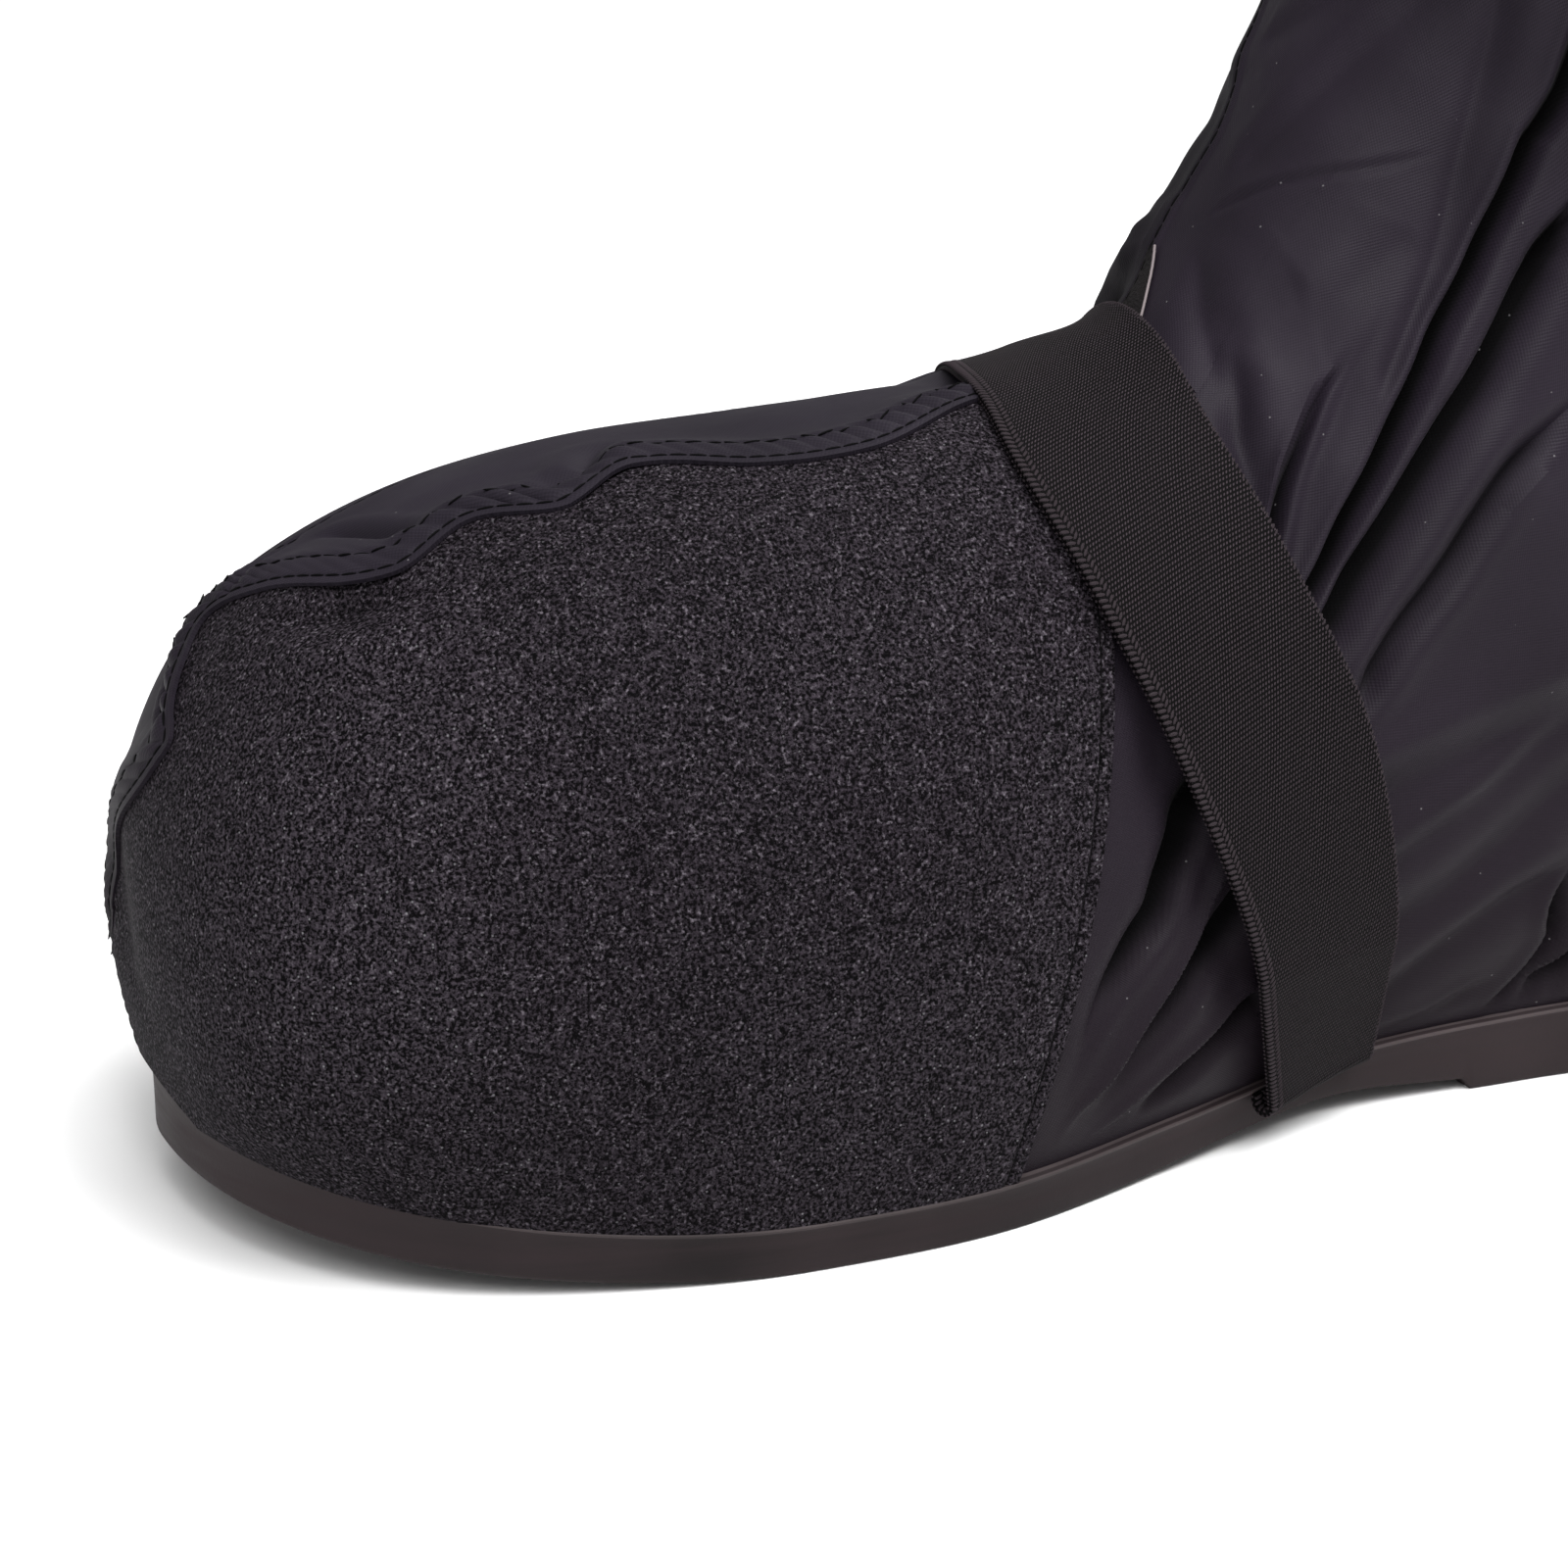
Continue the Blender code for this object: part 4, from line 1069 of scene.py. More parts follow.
def cloth_lift(numbers, places):
    """Height of the folded nylon over the form."""
    points = on_form(numbers, places).reshape(-1, 3)
    folds = fold_lift(points, LONG_TUCKS, TUCK_FADE) + fold_lift(points, SHORT_FOLDS, SHORT_FADE)
    shaft_folds = fold_lift(points, SHAFT_FOLDS + HEEL_FOLDS + FAR_SIDE_FOLDS)
    folds += shaft_folds + fold_lift(points, PLEATS, PLEAT_FADE)
    folds += fold_lift(points, STRAP_HOLLOW)
    folds += soft_waves(points)
    folds = np.minimum(folds, HIGHEST_FOLD).reshape(numbers.shape)
    clear_of_panel = ramp(numbers - panel_seam(places), *CLEAR_OF_SEAM)
    clear_of_sole = np.maximum(ramp(1 - np.abs(places), *CLEAR_OF_SOLE), ramp(numbers, *SHAFT_BACK))
    clear_of_hem = 1 - ramp(numbers, HEM_CALM_FROM, HEM_FROM)
    gusset = fold_lift(points, GUSSET).reshape(numbers.shape)
    hem = HEM_STEP * ramp(numbers, HEM_FROM - HEM_SOFTNESS, HEM_FROM + HEM_SOFTNESS)
    folds = folds * clear_of_panel * clear_of_sole * (HEM_FOLDS + (1 - HEM_FOLDS) * clear_of_hem)
    return folds + gusset + hem - COVERED_DROP * covered_share(numbers, places)


def under_flap(numbers, places):
    """Depth of the seat that the upper makes for the front flap."""
    inside = ramp(flap_edge(numbers, "lateral") - places, *SEAT_LATERAL)
    inside = inside * ramp(places - flap_edge(numbers, "medial"), *SEAT_MEDIAL)
    return FLAP_SEAT * inside * ramp(numbers, *SEAT_START)


tuck_height = cloth_lift(*path_places(MAIN_TUCK)).min()
print("main tuck", round(float(-tuck_height), 1), "mm deep")


# %% [markdown]
# The lines of the shaft's grid run along its main folds, so that even a narrow tuck comes out smooth with
# few points. Painted shade is stored at each point, for the finish to read: deep in a fold, and in the
# gusset beside the flap.

# %% Lay the upper
WALL = 1.2
TUCK_REACH = 0.022
RIDGE_PLACES = (-0.1, 0.06)
CREASE_GUIDE = SHORT_CREASE + ((15.5, 0.175), (18.0, 0.135), (23.5, 0.11))
SECOND_GUIDE = SECOND_TUCK + ((23.5, 0.30),)
GRID_GUIDES = (CREASE_GUIDE, MAIN_TUCK, SECOND_GUIDE, THIRD_TUCK, ANKLE_CREST, ANKLE_HOLLOW, LOW_CREASE)
SHAFT_COUNTS = (20, 12, 34, 30, 24, 14, 20, 18, 20, 22, 40)
# Painted shade: how deep a fold must be to darken fully, and the darkening of the gusset beside the flap.
SHADE_DEPTHS = (1.4, 5.0)
GUSSET_SHADE = 0.55
GUSSET_EDGE = (0.0, 0.02)
GUSSET_REACH = (-0.30, -0.20)
GUSSET_START = (11.0, 12.0)
GUSSET_END = (15.0, 17.0)


def shaft_places(number):
    """Places across the shaft at one section, with grid lines that follow the folds."""
    crease, tuck, *lines = [float(smooth(number, *np.array(path).T)) for path in GRID_GUIDES]
    stops = [-1.0, *RIDGE_PLACES, crease, tuck - TUCK_REACH, tuck + TUCK_REACH, *lines, 1.0]
    parts = [np.linspace(first, second, count, endpoint=False)
             for first, second, count in zip(stops, stops[1:], SHAFT_COUNTS)]
    return np.concatenate(parts + [[1.0]])


def store_shade(sheet, shade):
    """Store at each point how much painted shade darkens the finish there."""
    stored = sheet.data.attributes.new("fold_shade", "FLOAT", "POINT")
    stored.data.foreach_set("value", shade.reshape(-1).astype(np.float32))


def make_upper(name, numbers, places):
    """One sheet of the upper with its wall."""
    lift = cloth_lift(numbers, places) - under_flap(numbers, places)
    sheet = lay_on_form(name, numbers, places, lift)
    # Painted shade: darker deep in the folds and in the gusset beside the flap.
    beside_flap = ramp(flap_edge(numbers, "medial") - places, *GUSSET_EDGE) * ramp(places, *GUSSET_REACH)
    beside_flap = beside_flap * ramp(numbers, *GUSSET_START) * (1 - ramp(numbers, *GUSSET_END))
    store_shade(sheet, np.maximum(ramp(-lift, *SHADE_DEPTHS), GUSSET_SHADE * beside_flap))
    merge_points(sheet)
    thicken(sheet, WALL, -1, 1)
    finish_piece(sheet, (NYLON, LINING), "black_nylon", "upper")


# Grid lines are set close where the folds are: pairs of a start and the step from there on.
vamp_numbers = spread((0.0, 0.4), (7.2, 0.028), (10.75, 0))
vamp_places = spread((-1.0, 0.025), (-0.15, 0.02), (0.42, 0.0036), (1.0, 0))
make_upper("upper_vamp", *np.meshgrid(vamp_numbers, vamp_places, indexing="ij"))
shaft_numbers = spread((10.72, 0.07), (12.7, 0.05), (14.6, 0.065), (19.6, 0.16), (COLLAR, 0))
shaft_grid = np.array([shaft_places(number) for number in shaft_numbers])
make_upper("upper_shaft", np.broadcast_to(shaft_numbers[:, None], shaft_grid.shape), shaft_grid)


# %% [markdown]
# ## Toe panels
# Each half of the toe is covered by a grip sheet that runs from under the vamp strip down to the sole. It
# is stiffer than the nylon, so it has no folds, only broad hollows and a shallow dent at the toe tip. Its
# rear edge is cut raw, with a row of stitches pulled into the sheet just ahead of it. Shade is painted
# into the colour along the seam's groove and in the deepest hollows.

# %% Lay the toe panels
PANEL_THICKNESS = 0.8
PANEL_LIFT = 2.0 * SEAT_GAP
PANEL_TUCK = 0.02
PANEL_BASE = 0.998
SEAM_BACK = 2.3
SEAM_GROOVE = (0.60, 0.55)
SEAM_SHADE = (0.40, 0.80)
SEAM_ROWS = 24
SEAM_ROWS_FROM = 0.965
HOLLOW_SHADE = 0.45
HOLLOW_SHADE_DEPTHS = (0.8, 2.6)
HOLLOW_SHADE_PLACES = (0.26, 0.34)
HOLLOW_FADE = (0.5, 0.5)
DEEPEST_HOLLOW = 3.2
STILL_BY_SOLE = (0.0, 0.12)
STILL_BY_SEAM = (2.0, 22.0)
MEDIAL_DROP = 3.0
MEDIAL_DROP_REACH = (6.0, 32.0)
TOE_DENT_END = 4.0
CREASE_FADE = (0.4, 0.4)
PANEL_HOLLOWS = (
    (((5.4, 0.62), (6.2, 0.54), (6.9, 0.46), (7.9, 0.34), (8.6, 0.26)), 3.0, 12.0, 13.0, 0.8, 0.8),
    (((4.3, 0.10), (4.7, 0.14), (5.05, 0.175), (5.4, 0.195), (5.8, 0.20)), 2.4, 4.0, 4.5, 0.0, 1.7),
    (((3.2, 0.30), (4.0, 0.34), (5.2, 0.42)), -0.8, 9.0, 9.0, 0.0, 0.0),
)
TOE_DENT = (
    (((2.4, -0.45), (2.0, -0.32), (1.7, -0.24), (1.4, -0.24), (1.1, -0.32), (0.8, -0.42)),
     2.8, 14.0, 14.0, 0.0, 0.0),
)
STRIP_COLUMNS = ("section", "lateral", "medial")
STRIP_EDGES = (
    (0.15, -0.58, -0.82),
    (1.00, -0.52, -0.76),
    (1.50, -0.41, -0.68),
    (1.90, -0.26, -0.59),
    (2.15, -0.16, -0.53),
    (2.70, 0.03, -0.38),
    (3.10, 0.09, -0.31),
    (3.35, 0.10, -0.275),
    (3.50, 0.065, -0.255),
    (3.75, 0.025, -0.23),
    (4.15, -0.015, -0.195),
    (4.65, 0.055, -0.16),
    (5.15, 0.15, -0.13),
    (5.40, 0.17, -0.13),
    (6.00, 0.14, -0.14),
    (6.50, 0.165, -0.14),
    (7.00, 0.125, -0.14),
    (7.60, 0.155, -0.14),
    (8.30, 0.155, -0.14),
    (9.20, 0.095, -0.14),
    (11.00, 0.12, -0.12),
)


def strip_edge(numbers, name):
    """Place of one edge of the vamp strip at section numbers."""
    sections = column(STRIP_EDGES, STRIP_COLUMNS, "section")
    return smooth(numbers, sections, column(STRIP_EDGES, STRIP_COLUMNS, name))


def panel_grid(side, start, rows, columns):
    """Section numbers and places of a toe panel's grid, from the strip to the sole and from toe to seam."""
    name = "lateral" if side > 0 else "medial"
    share = np.linspace(0, 1, columns)
    ridge_place = strip_edge(PANEL_SEAM_AT_RIDGE, name)
    end = panel_seam(ridge_place + (side - ridge_place) * share)
    before_seam = np.linspace(0, SEAM_ROWS_FROM, rows - SEAM_ROWS, endpoint=False)
    steps = np.r_[before_seam, np.linspace(SEAM_ROWS_FROM, 1, SEAM_ROWS)]
    numbers = start + (end - start) * steps[:, None]
    edge = strip_edge(numbers, name) - side * PANEL_TUCK
    places = edge + (side * PANEL_BASE - edge) * share
    if side < 0:
        numbers, places = numbers[:, ::-1], places[:, ::-1]
    return numbers, places


def make_panel(name, side, start, rows, columns):
    """Grip sheet with its hollows and the groove of its rear seam."""
    numbers, places = panel_grid(side, start, rows, columns)
    points = on_form(numbers, places)
    to_edge = np.linalg.norm(points - points[-1:], axis=-1)
    depth, width = SEAM_GROOVE
    groove = -depth * np.exp(-((to_edge - SEAM_BACK) / width) ** 2)
    hollows = fold_lift(points.reshape(-1, 3), PANEL_HOLLOWS, HOLLOW_FADE).reshape(numbers.shape)
    still = ramp(1 - np.abs(places), *STILL_BY_SOLE) * ramp(to_edge, *STILL_BY_SEAM)
    lift = PANEL_LIFT + groove + np.maximum(hollows * still, -DEEPEST_HOLLOW)
    if side < 0:
        to_strip = np.linalg.norm(points - on_form(numbers, strip_edge(numbers, "medial")), axis=-1)
        lift -= MEDIAL_DROP * covered_share(numbers, places) * (1 - ramp(to_strip, *MEDIAL_DROP_REACH))
    dent = fold_lift(points.reshape(-1, 3), TOE_DENT, CREASE_FADE).reshape(numbers.shape)
    over_upper = SEAT_GAP - COVERED_DROP * covered_share(numbers, places)
    lift = np.where(numbers < TOE_DENT_END, np.maximum(lift + dent, over_upper), lift)
    panel = lay_on_form("grip_sheet_" + name, numbers, places, lift)
    # Painted shade: darker in the deeper hollows and along the seam's groove.
    dip = HOLLOW_SHADE * ramp(-hollows * still, *HOLLOW_SHADE_DEPTHS)
    dip = dip * (1 - ramp(np.abs(places), *HOLLOW_SHADE_PLACES))
    store_shade(panel, np.maximum(1 - ramp(np.abs(to_edge - SEAM_BACK), *SEAM_SHADE), dip))
    thicken(panel, PANEL_THICKNESS, 1)
    finish_piece(panel, (GRIP,), "grip_textured_sheet", "toe_panel_" + name)
    return numbers, places


lateral_panel = make_panel("lateral", side=1, start=0.1, rows=190, columns=110)
medial_panel = make_panel("medial", side=-1, start=1.0, rows=110, columns=60)


# %% [markdown]
# ## Vamp strip
# A smooth nylon strip covers the seam between the toe panels. Its edge is turned under and waves where the
# cloth was eased in, and two rows of stitches run along it. The sewing draws the cloth between them into
# short slanted puckers. Its crown lies flatter than its edges, and the toe's dent runs on under it.

# %% Lay the vamp strip
STRIP_THICKNESS = 0.75
STRIP_LOW = 0.75
STRIP_HIGH = 1.55
STRIP_RAISED = (5.0, 11.0)
UNDER_STRAP = 0.9
UNDER_STRAP_FROM = (9.6, 10.1)
TOE_SHARE = 0.45
TOE_SHARE_END = (1.0, 2.4)
CROWN_DROP = 2.0
CROWN_REACH = (4.0, 16.0)
STRIP_CREASES = (
    (((5.2, -0.04), (5.35, -0.015), (5.55, 0.06), (5.7, 0.095), (5.9, 0.10)), 1.5, 1.6, 1.8, 0.5, 0.5),
    (((6.3, 0.13), (6.5, 0.115), (6.75, 0.10), (6.95, 0.04), (7.2, 0.0)), 1.8, 2.4, 2.4, 0.6, 0.6),
    (((3.0, -0.02), (3.3, 0.02), (3.6, -0.02), (3.9, -0.08)), 1.2, 1.8, 1.8, 0.5, 0.5),
    (((4.3, 0.0), (4.6, -0.02), (5.0, -0.06), (5.3, -0.10)), 0.9, 1.4, 1.4, 0.4, 0.4),
    (((2.3, -0.20), (2.6, -0.22), (2.9, -0.26)), 0.8, 1.5, 1.5, 0.3, 0.3),
)
STRIP_ROWS = 380
STRIP_PLACES = 72
EDGE_CLOSENESS = 0.8
NEAR_STITCH = 1.6
FAR_STITCH = 5.8
PUCKER_PITCH = 4.4
PUCKER_HEIGHT = 0.50
PUCKER_SLANT = 0.9
PUCKER_DRIFT = (0.6, 17.0)
PUCKER_SWELL = (0.4, 11.0)
PUCKER_START = (NEAR_STITCH, NEAR_STITCH + 1.2)
PUCKER_END = (FAR_STITCH - 0.8, FAR_STITCH + 4.0)
NEAR_SIDE = (-6.0, 6.0)
EASE_HEIGHT = 0.35
EASE_LENGTHS = (9.0, 8.0)
EASE_START = (FAR_STITCH, FAR_STITCH + 6.0)
STITCH_GROOVE = (0.25, 0.45)

strip_numbers = np.linspace(STRIP_EDGES[0][0], STRIP_EDGES[-1][0], STRIP_ROWS)[:, None]
even = np.linspace(0, 1, STRIP_PLACES)
strip_share = even - EDGE_CLOSENESS * np.sin(2 * np.pi * even) / (2 * np.pi)
strip_lateral = strip_edge(strip_numbers, "lateral")
strip_medial = strip_edge(strip_numbers, "medial")
strip_places = strip_medial + (strip_lateral - strip_medial) * strip_share
strip_numbers = np.broadcast_to(strip_numbers, strip_places.shape)
strip_points = on_form(strip_numbers, strip_places)


def gap_to_edge(points, edge):
    """Shortest distance of each grid point to the points of an edge line."""
    gap = np.full(points.shape[:2], np.inf)
    for spot in edge:
        gap = np.minimum(gap, np.linalg.norm(points - spot, axis=-1))
    return gap


strip_to_medial = gap_to_edge(strip_points, strip_points[:, 0])
strip_to_lateral = gap_to_edge(strip_points, strip_points[:, -1])


def strip_lift(numbers, points):
    """Height of the strip: raised along its edges over the panels, drawn in at stitches, puckered between."""
    to_edge = np.minimum(strip_to_medial, strip_to_lateral)
    run = run_along(points[:, -1], 0)[:, None]
    lift = STRIP_LOW + (STRIP_HIGH - STRIP_LOW) * (1 - ramp(strip_to_lateral, *STRIP_RAISED))
    lift = lift * (TOE_SHARE + (1 - TOE_SHARE) * ramp(numbers, *TOE_SHARE_END))
    lift -= CROWN_DROP * ramp(strip_to_lateral, *CROWN_REACH) * covered_share(numbers, strip_places)
    depth, width = STITCH_GROOVE
    for row in (NEAR_STITCH, FAR_STITCH):
        lift -= depth * np.exp(-((to_edge - row) / width) ** 2)
    between = ramp(to_edge, *PUCKER_START) * (1 - ramp(to_edge, *PUCKER_END))
    drift, drift_length = PUCKER_DRIFT
    phase = (run + PUCKER_SLANT * to_edge) / PUCKER_PITCH + drift * np.sin(run / drift_length)
    swell, swell_length = PUCKER_SWELL
    swelling = 1 - swell + swell * np.sin(run / swell_length)
    near_side = ramp(strip_to_medial - strip_to_lateral, *NEAR_SIDE)
    lift += PUCKER_HEIGHT * near_side * between * np.sin(2 * np.pi * phase) * swelling
    easing = np.sin(run / EASE_LENGTHS[0] + to_edge / EASE_LENGTHS[1])
    lift += EASE_HEIGHT * easing * ramp(to_edge, *EASE_START)
    lift += fold_lift(points.reshape(-1, 3), STRIP_CREASES + TOE_DENT, CREASE_FADE).reshape(to_edge.shape)
    return lift - UNDER_STRAP * ramp(numbers, *UNDER_STRAP_FROM)


vamp_strip = lay_on_form("strip_cloth", strip_numbers, strip_places, strip_lift(strip_numbers, strip_points))
thicken(vamp_strip, STRIP_THICKNESS, 1)
finish_piece(vamp_strip, (STRIP_NYLON,), "black_nylon", "vamp_strip")


# %% [markdown]
# ## Instep strap
# The strap is a flat woven elastic that stands a little off the cloth. At each sole edge it is folded in,
# so its end shows as a rounded fold. On the far side of the ridge its rear edge dips towards the cloth. The
# strap is laid as lanes along its length, since a flat band that is remeshed or simulated would lose its
# clean edges.

# %% Lay the strap
STRAP_COLUMNS = ("place", "front", "rear", "stand_off")
STRAP = (
    (-1.00, 10.20, 11.70, 4.0),
    (-0.75, 10.00, 12.00, 4.5),
    (-0.55, 10.00, 12.10, 3.4),
    (-0.35, 10.05, 12.10, 2.2),
    (-0.20, 9.95, 12.10, 1.5),
    (-0.10, 9.70, 12.10, 1.5),
    (0.00, 9.45, 12.05, 1.9),
    (0.10, 9.27, 11.80, 2.4),
    (0.20, 9.12, 11.50, 2.8),
    (0.35, 9.20, 11.60, 3.2),
    (0.55, 9.50, 11.95, 4.2),
    (0.75, 9.85, 11.90, 5.0),
    (1.00, 10.20, 11.70, 4.0),
)
STRAP_THICKNESS = 1.2
STRAP_LANES = 30
STRAP_STEPS = 220
STRAP_BASE = 0.80
STRAIGHT_STEPS = 12
STRAP_CROWN = 0.35
FOLD_STAND = 4.6
FOLD_RETURN = 0.9
FOLD_DROP = (1.7, -1.6)
FOLD_ARC_STEPS = 12
FOLD_RISE = 0.9
WALL_REACH = 2.0
REAR_DIP = 3.2
REAR_LANES = (0.4, 1.0)
DIP_PLACE = -0.16
DIP_REACH = 0.13


def strap_fold(x, side, drop):
    """Folded strap end beside the sole's wall: round the fold and up again inside."""
    ahead, behind = sole_sides(x + WALL_REACH)[side], sole_sides(x - WALL_REACH)[side]
    outward = np.array([behind - ahead, 2 * WALL_REACH]) / np.hypot(behind - ahead, 2 * WALL_REACH)
    if side == 1:
        outward = -outward
    radius = (FOLD_STAND - FOLD_RETURN) / 2
    turn = np.linspace(0, np.pi, FOLD_ARC_STEPS + 1)
    out = np.r_[FOLD_RETURN + radius + radius * np.cos(turn), FOLD_RETURN]
    height = np.r_[-drop - radius * np.sin(turn), -drop + FOLD_RISE]
    edge = np.array([x, sole_sides(x)[side]])
    plan = edge + out[:, None] * outward
    return np.c_[plan, sole_height(x, "top") + height]


def strap_lane(share):
    """Middle line of the strap for one lane, from the lateral fold over the foot to the medial fold."""
    place = column(STRAP, STRAP_COLUMNS, "place")
    across = np.linspace(STRAP_BASE, -STRAP_BASE, STRAP_STEPS + 1)
    front = smooth(across, place, column(STRAP, STRAP_COLUMNS, "front"))
    rear = smooth(across, place, column(STRAP, STRAP_COLUMNS, "rear"))
    stand_off = smooth(across, place, column(STRAP, STRAP_COLUMNS, "stand_off"))
    crown = STRAP_CROWN * (1 - (2 * share - 1) ** 2)
    dip = np.exp(-((across - DIP_PLACE) / DIP_REACH) ** 2)
    crown = crown - REAR_DIP * ramp(share, *REAR_LANES) * dip
    over = on_form(front + (rear - front) * share, across, stand_off + crown)
    end_front, end_rear = STRAP[-1][1:3]
    number = end_front + (end_rear - end_front) * share
    base_x = float(smooth(number, SECTION_NUMBERS, SECTION_TABLE[:, 0]))
    drop = FOLD_DROP[0] + (FOLD_DROP[1] - FOLD_DROP[0]) * share
    lateral, medial = strap_fold(base_x, 0, drop), strap_fold(base_x, 1, drop)
    steps = np.linspace(0, 1, STRAIGHT_STEPS + 1)[1:-1, None]
    rising = lateral[0] + (over[0] - lateral[0]) * steps
    falling = over[-1] + (medial[0] - over[-1]) * steps
    return np.vstack([lateral[::-1], rising, over, falling, medial])


strap_points = np.array([strap_lane(share) for share in np.linspace(0, 1, STRAP_LANES)])
strap = lay_grid("strap_webbing", strap_points)
thicken(strap, STRAP_THICKNESS, 0)
finish_piece(strap, (ELASTIC,), "black_elastic", "instep_strap")


# %% [markdown]
# ## Front flap
# The shaft closes at the front with an overlap. The flap lies in the seat that the upper makes for it and
# follows the same folds. Its edge is turned over into a narrow hem, which painted shade makes a little
# darker than the rest.

# %% Lay the flap
FLAP_THICKNESS = 0.7
FLAP_END_GAP = 0.05
FLAP_ROWS = 260
FLAP_LINES = 56
LINE_CLOSENESS = 1.5
FLAP_HEM = 4.2
FLAP_HEM_RISE = 0.7
FLAP_HEM_EDGE = 0.8
FLAP_STITCH = 3.0
FLAP_GROOVE = (0.3, 0.5)
HEM_SHADE = 0.5
HEM_SHADE_REACH = (0.3 * FLAP_HEM, 1.2 * FLAP_HEM)

flap_numbers = np.linspace(FLAP_EDGES[0][0], COLLAR - FLAP_END_GAP, FLAP_ROWS)[:, None]
flap_share = np.linspace(0, 1, FLAP_LINES) ** LINE_CLOSENESS
flap_reach = flap_edge(flap_numbers, "lateral") - flap_edge(flap_numbers, "medial")
flap_places = flap_edge(flap_numbers, "medial") + flap_reach * flap_share
flap_numbers = np.broadcast_to(flap_numbers, flap_places.shape)
flap_base = on_form(flap_numbers, flap_places)
to_hem = np.linalg.norm(flap_base - flap_base[:, :1], axis=-1)
on_hem = 1 - ramp(to_hem, FLAP_HEM - FLAP_HEM_EDGE, FLAP_HEM + FLAP_HEM_EDGE)
flap_lift = cloth_lift(flap_numbers, flap_places) + FLAP_HEM_RISE * on_hem
groove_depth, groove_reach = FLAP_GROOVE
flap_lift -= groove_depth * np.exp(-((to_hem - FLAP_STITCH) / groove_reach) ** 2)
front_flap = lay_on_form("flap_cloth", flap_numbers, flap_places, flap_lift)
# Painted shade on the hem, fading away from its edge.
store_shade(front_flap, HEM_SHADE * (1 - ramp(to_hem, *HEM_SHADE_REACH)))
thicken(front_flap, FLAP_THICKNESS, -1)
finish_piece(front_flap, (NYLON,), "black_nylon", "front_flap")


# %% [markdown]
# ## Outsole
# The sole is one moulding: a flat wall all round, a small greyer lip at its top edge, a low heel, and cross
# bars underneath. It could be extruded from its outline, but the wall changes its height along the way. So
# its cross section is repeated along the length and joined up. The grooves between the bars are cut with
# boxes, as a mould maker cuts them.

# %% Make the sole
SOLE_RINGS = 260
SOLE_CHAMFER = 0.8
LIP_HEIGHT = 0.8
LIP_REACH = 0.65
NARROW_SHARE = 0.6
HEEL_STEP = np.array((-0.5, 2.0))
GROOVE_WIDTH = 4.0
GROOVE_DEPTH = 2.2
GROOVE_RIM = 7.0
GROOVE_PITCH = 11.0
FOREFOOT_GROOVES = (185.0, 10)
HEEL_GROOVES = (14.0, 8)


def wall_profile(top, bottom):
    """Side wall from the underside up to the top face: inset from the outline and height."""
    chamfer = (
        (SOLE_CHAMFER, bottom),
        (0.25, bottom + 0.25),
        (0.0, bottom + SOLE_CHAMFER),
    )
    hollow_wall = (
        (0.18, bottom + 0.5 * (top - bottom)),
        (0.10, top - LIP_HEIGHT - 1.2),
    )
    lip = (
        (-LIP_REACH + 0.1, top - LIP_HEIGHT),
        (-LIP_REACH, top - 0.5 * LIP_HEIGHT),
        (-LIP_REACH + 0.2, top - 0.15),
    )
    top_edge = (
        (0.35, top + 0.05),
        (1.4, top + 0.9),
    )
    return chamfer + hollow_wall + lip + top_edge


def sole_section(x):
    """Closed cross section of the sole at station x."""
    lateral, medial = [float(v) for v in sole_sides(x)]
    top, bottom = float(sole_height(x, "top")), float(sole_height(x, "underside"))
    half = 0.5 * (lateral - medial)
    wall = [(min(inset, NARROW_SHARE * half), z) for inset, z in wall_profile(top, bottom)]
    near = [(x, lateral - inset, z) for inset, z in wall]
    far = [(x, medial + inset, z) for inset, z in wall[::-1]]
    return near + far


turn = np.linspace(0, np.pi, SOLE_RINGS + 1)[1:-1]
stations = np.sort(np.r_[SOLE_LENGTH * (1 - np.cos(turn)) / 2, HEEL_BREAST + HEEL_STEP])
sole_points = np.array([sole_section(x) for x in stations])
sole_points = np.concatenate([sole_points, sole_points[:, :1]], axis=1)
sole = lay_grid("sole_moulding", sole_points)
merge_points(sole)
bpy.ops.object.mode_set(mode="EDIT")
bpy.ops.mesh.select_mode(type="EDGE")
bpy.ops.mesh.select_all(action="DESELECT")
bpy.ops.mesh.select_non_manifold()
bpy.ops.mesh.edge_face_add()
bpy.ops.mesh.select_all(action="SELECT")
bpy.ops.mesh.normals_make_consistent(inside=False)
bpy.ops.object.mode_set(mode="OBJECT")
print("sole rings", len(stations), "of", sole_points.shape[1] - 1, "points")


# %% Cut the grooves under the sole
LIP_MARGIN = 0.05
FLAT_FACE = 0.95

groove_stations = []
for start, count in (FOREFOOT_GROOVES, HEEL_GROOVES):
    groove_stations += [start + GROOVE_PITCH * i for i in range(count)]
cutters = []
for x in groove_stations:
    lateral, medial = sole_sides(x)
    middle = to_row((x, (lateral + medial) / 2, float(sole_height(x, "underside"))))
    size = np.array((GROOVE_WIDTH, lateral - medial - 2 * GROOVE_RIM, 2 * GROOVE_DEPTH)) * MM
    bpy.ops.object.select_all(action="DESELECT")
    bpy.ops.mesh.primitive_cube_add(size=1, location=middle, scale=size)
    cutters.append(bpy.context.object)
for cutter in cutters:
    cutter.select_set(True)
bpy.ops.object.join()
cutter = bpy.context.object
cut = sole.modifiers.new("grooves", "BOOLEAN")
cut.operation = "DIFFERENCE"
cut.solver = "EXACT"
cut.object = cutter
bpy.context.view_layer.objects.active = sole
bpy.ops.object.modifier_apply(modifier="grooves")
bpy.data.objects.remove(cutter, do_unlink=True)
finish_piece(sole, (RUBBER, LIP_RUBBER), "black_rubber", "outsole")
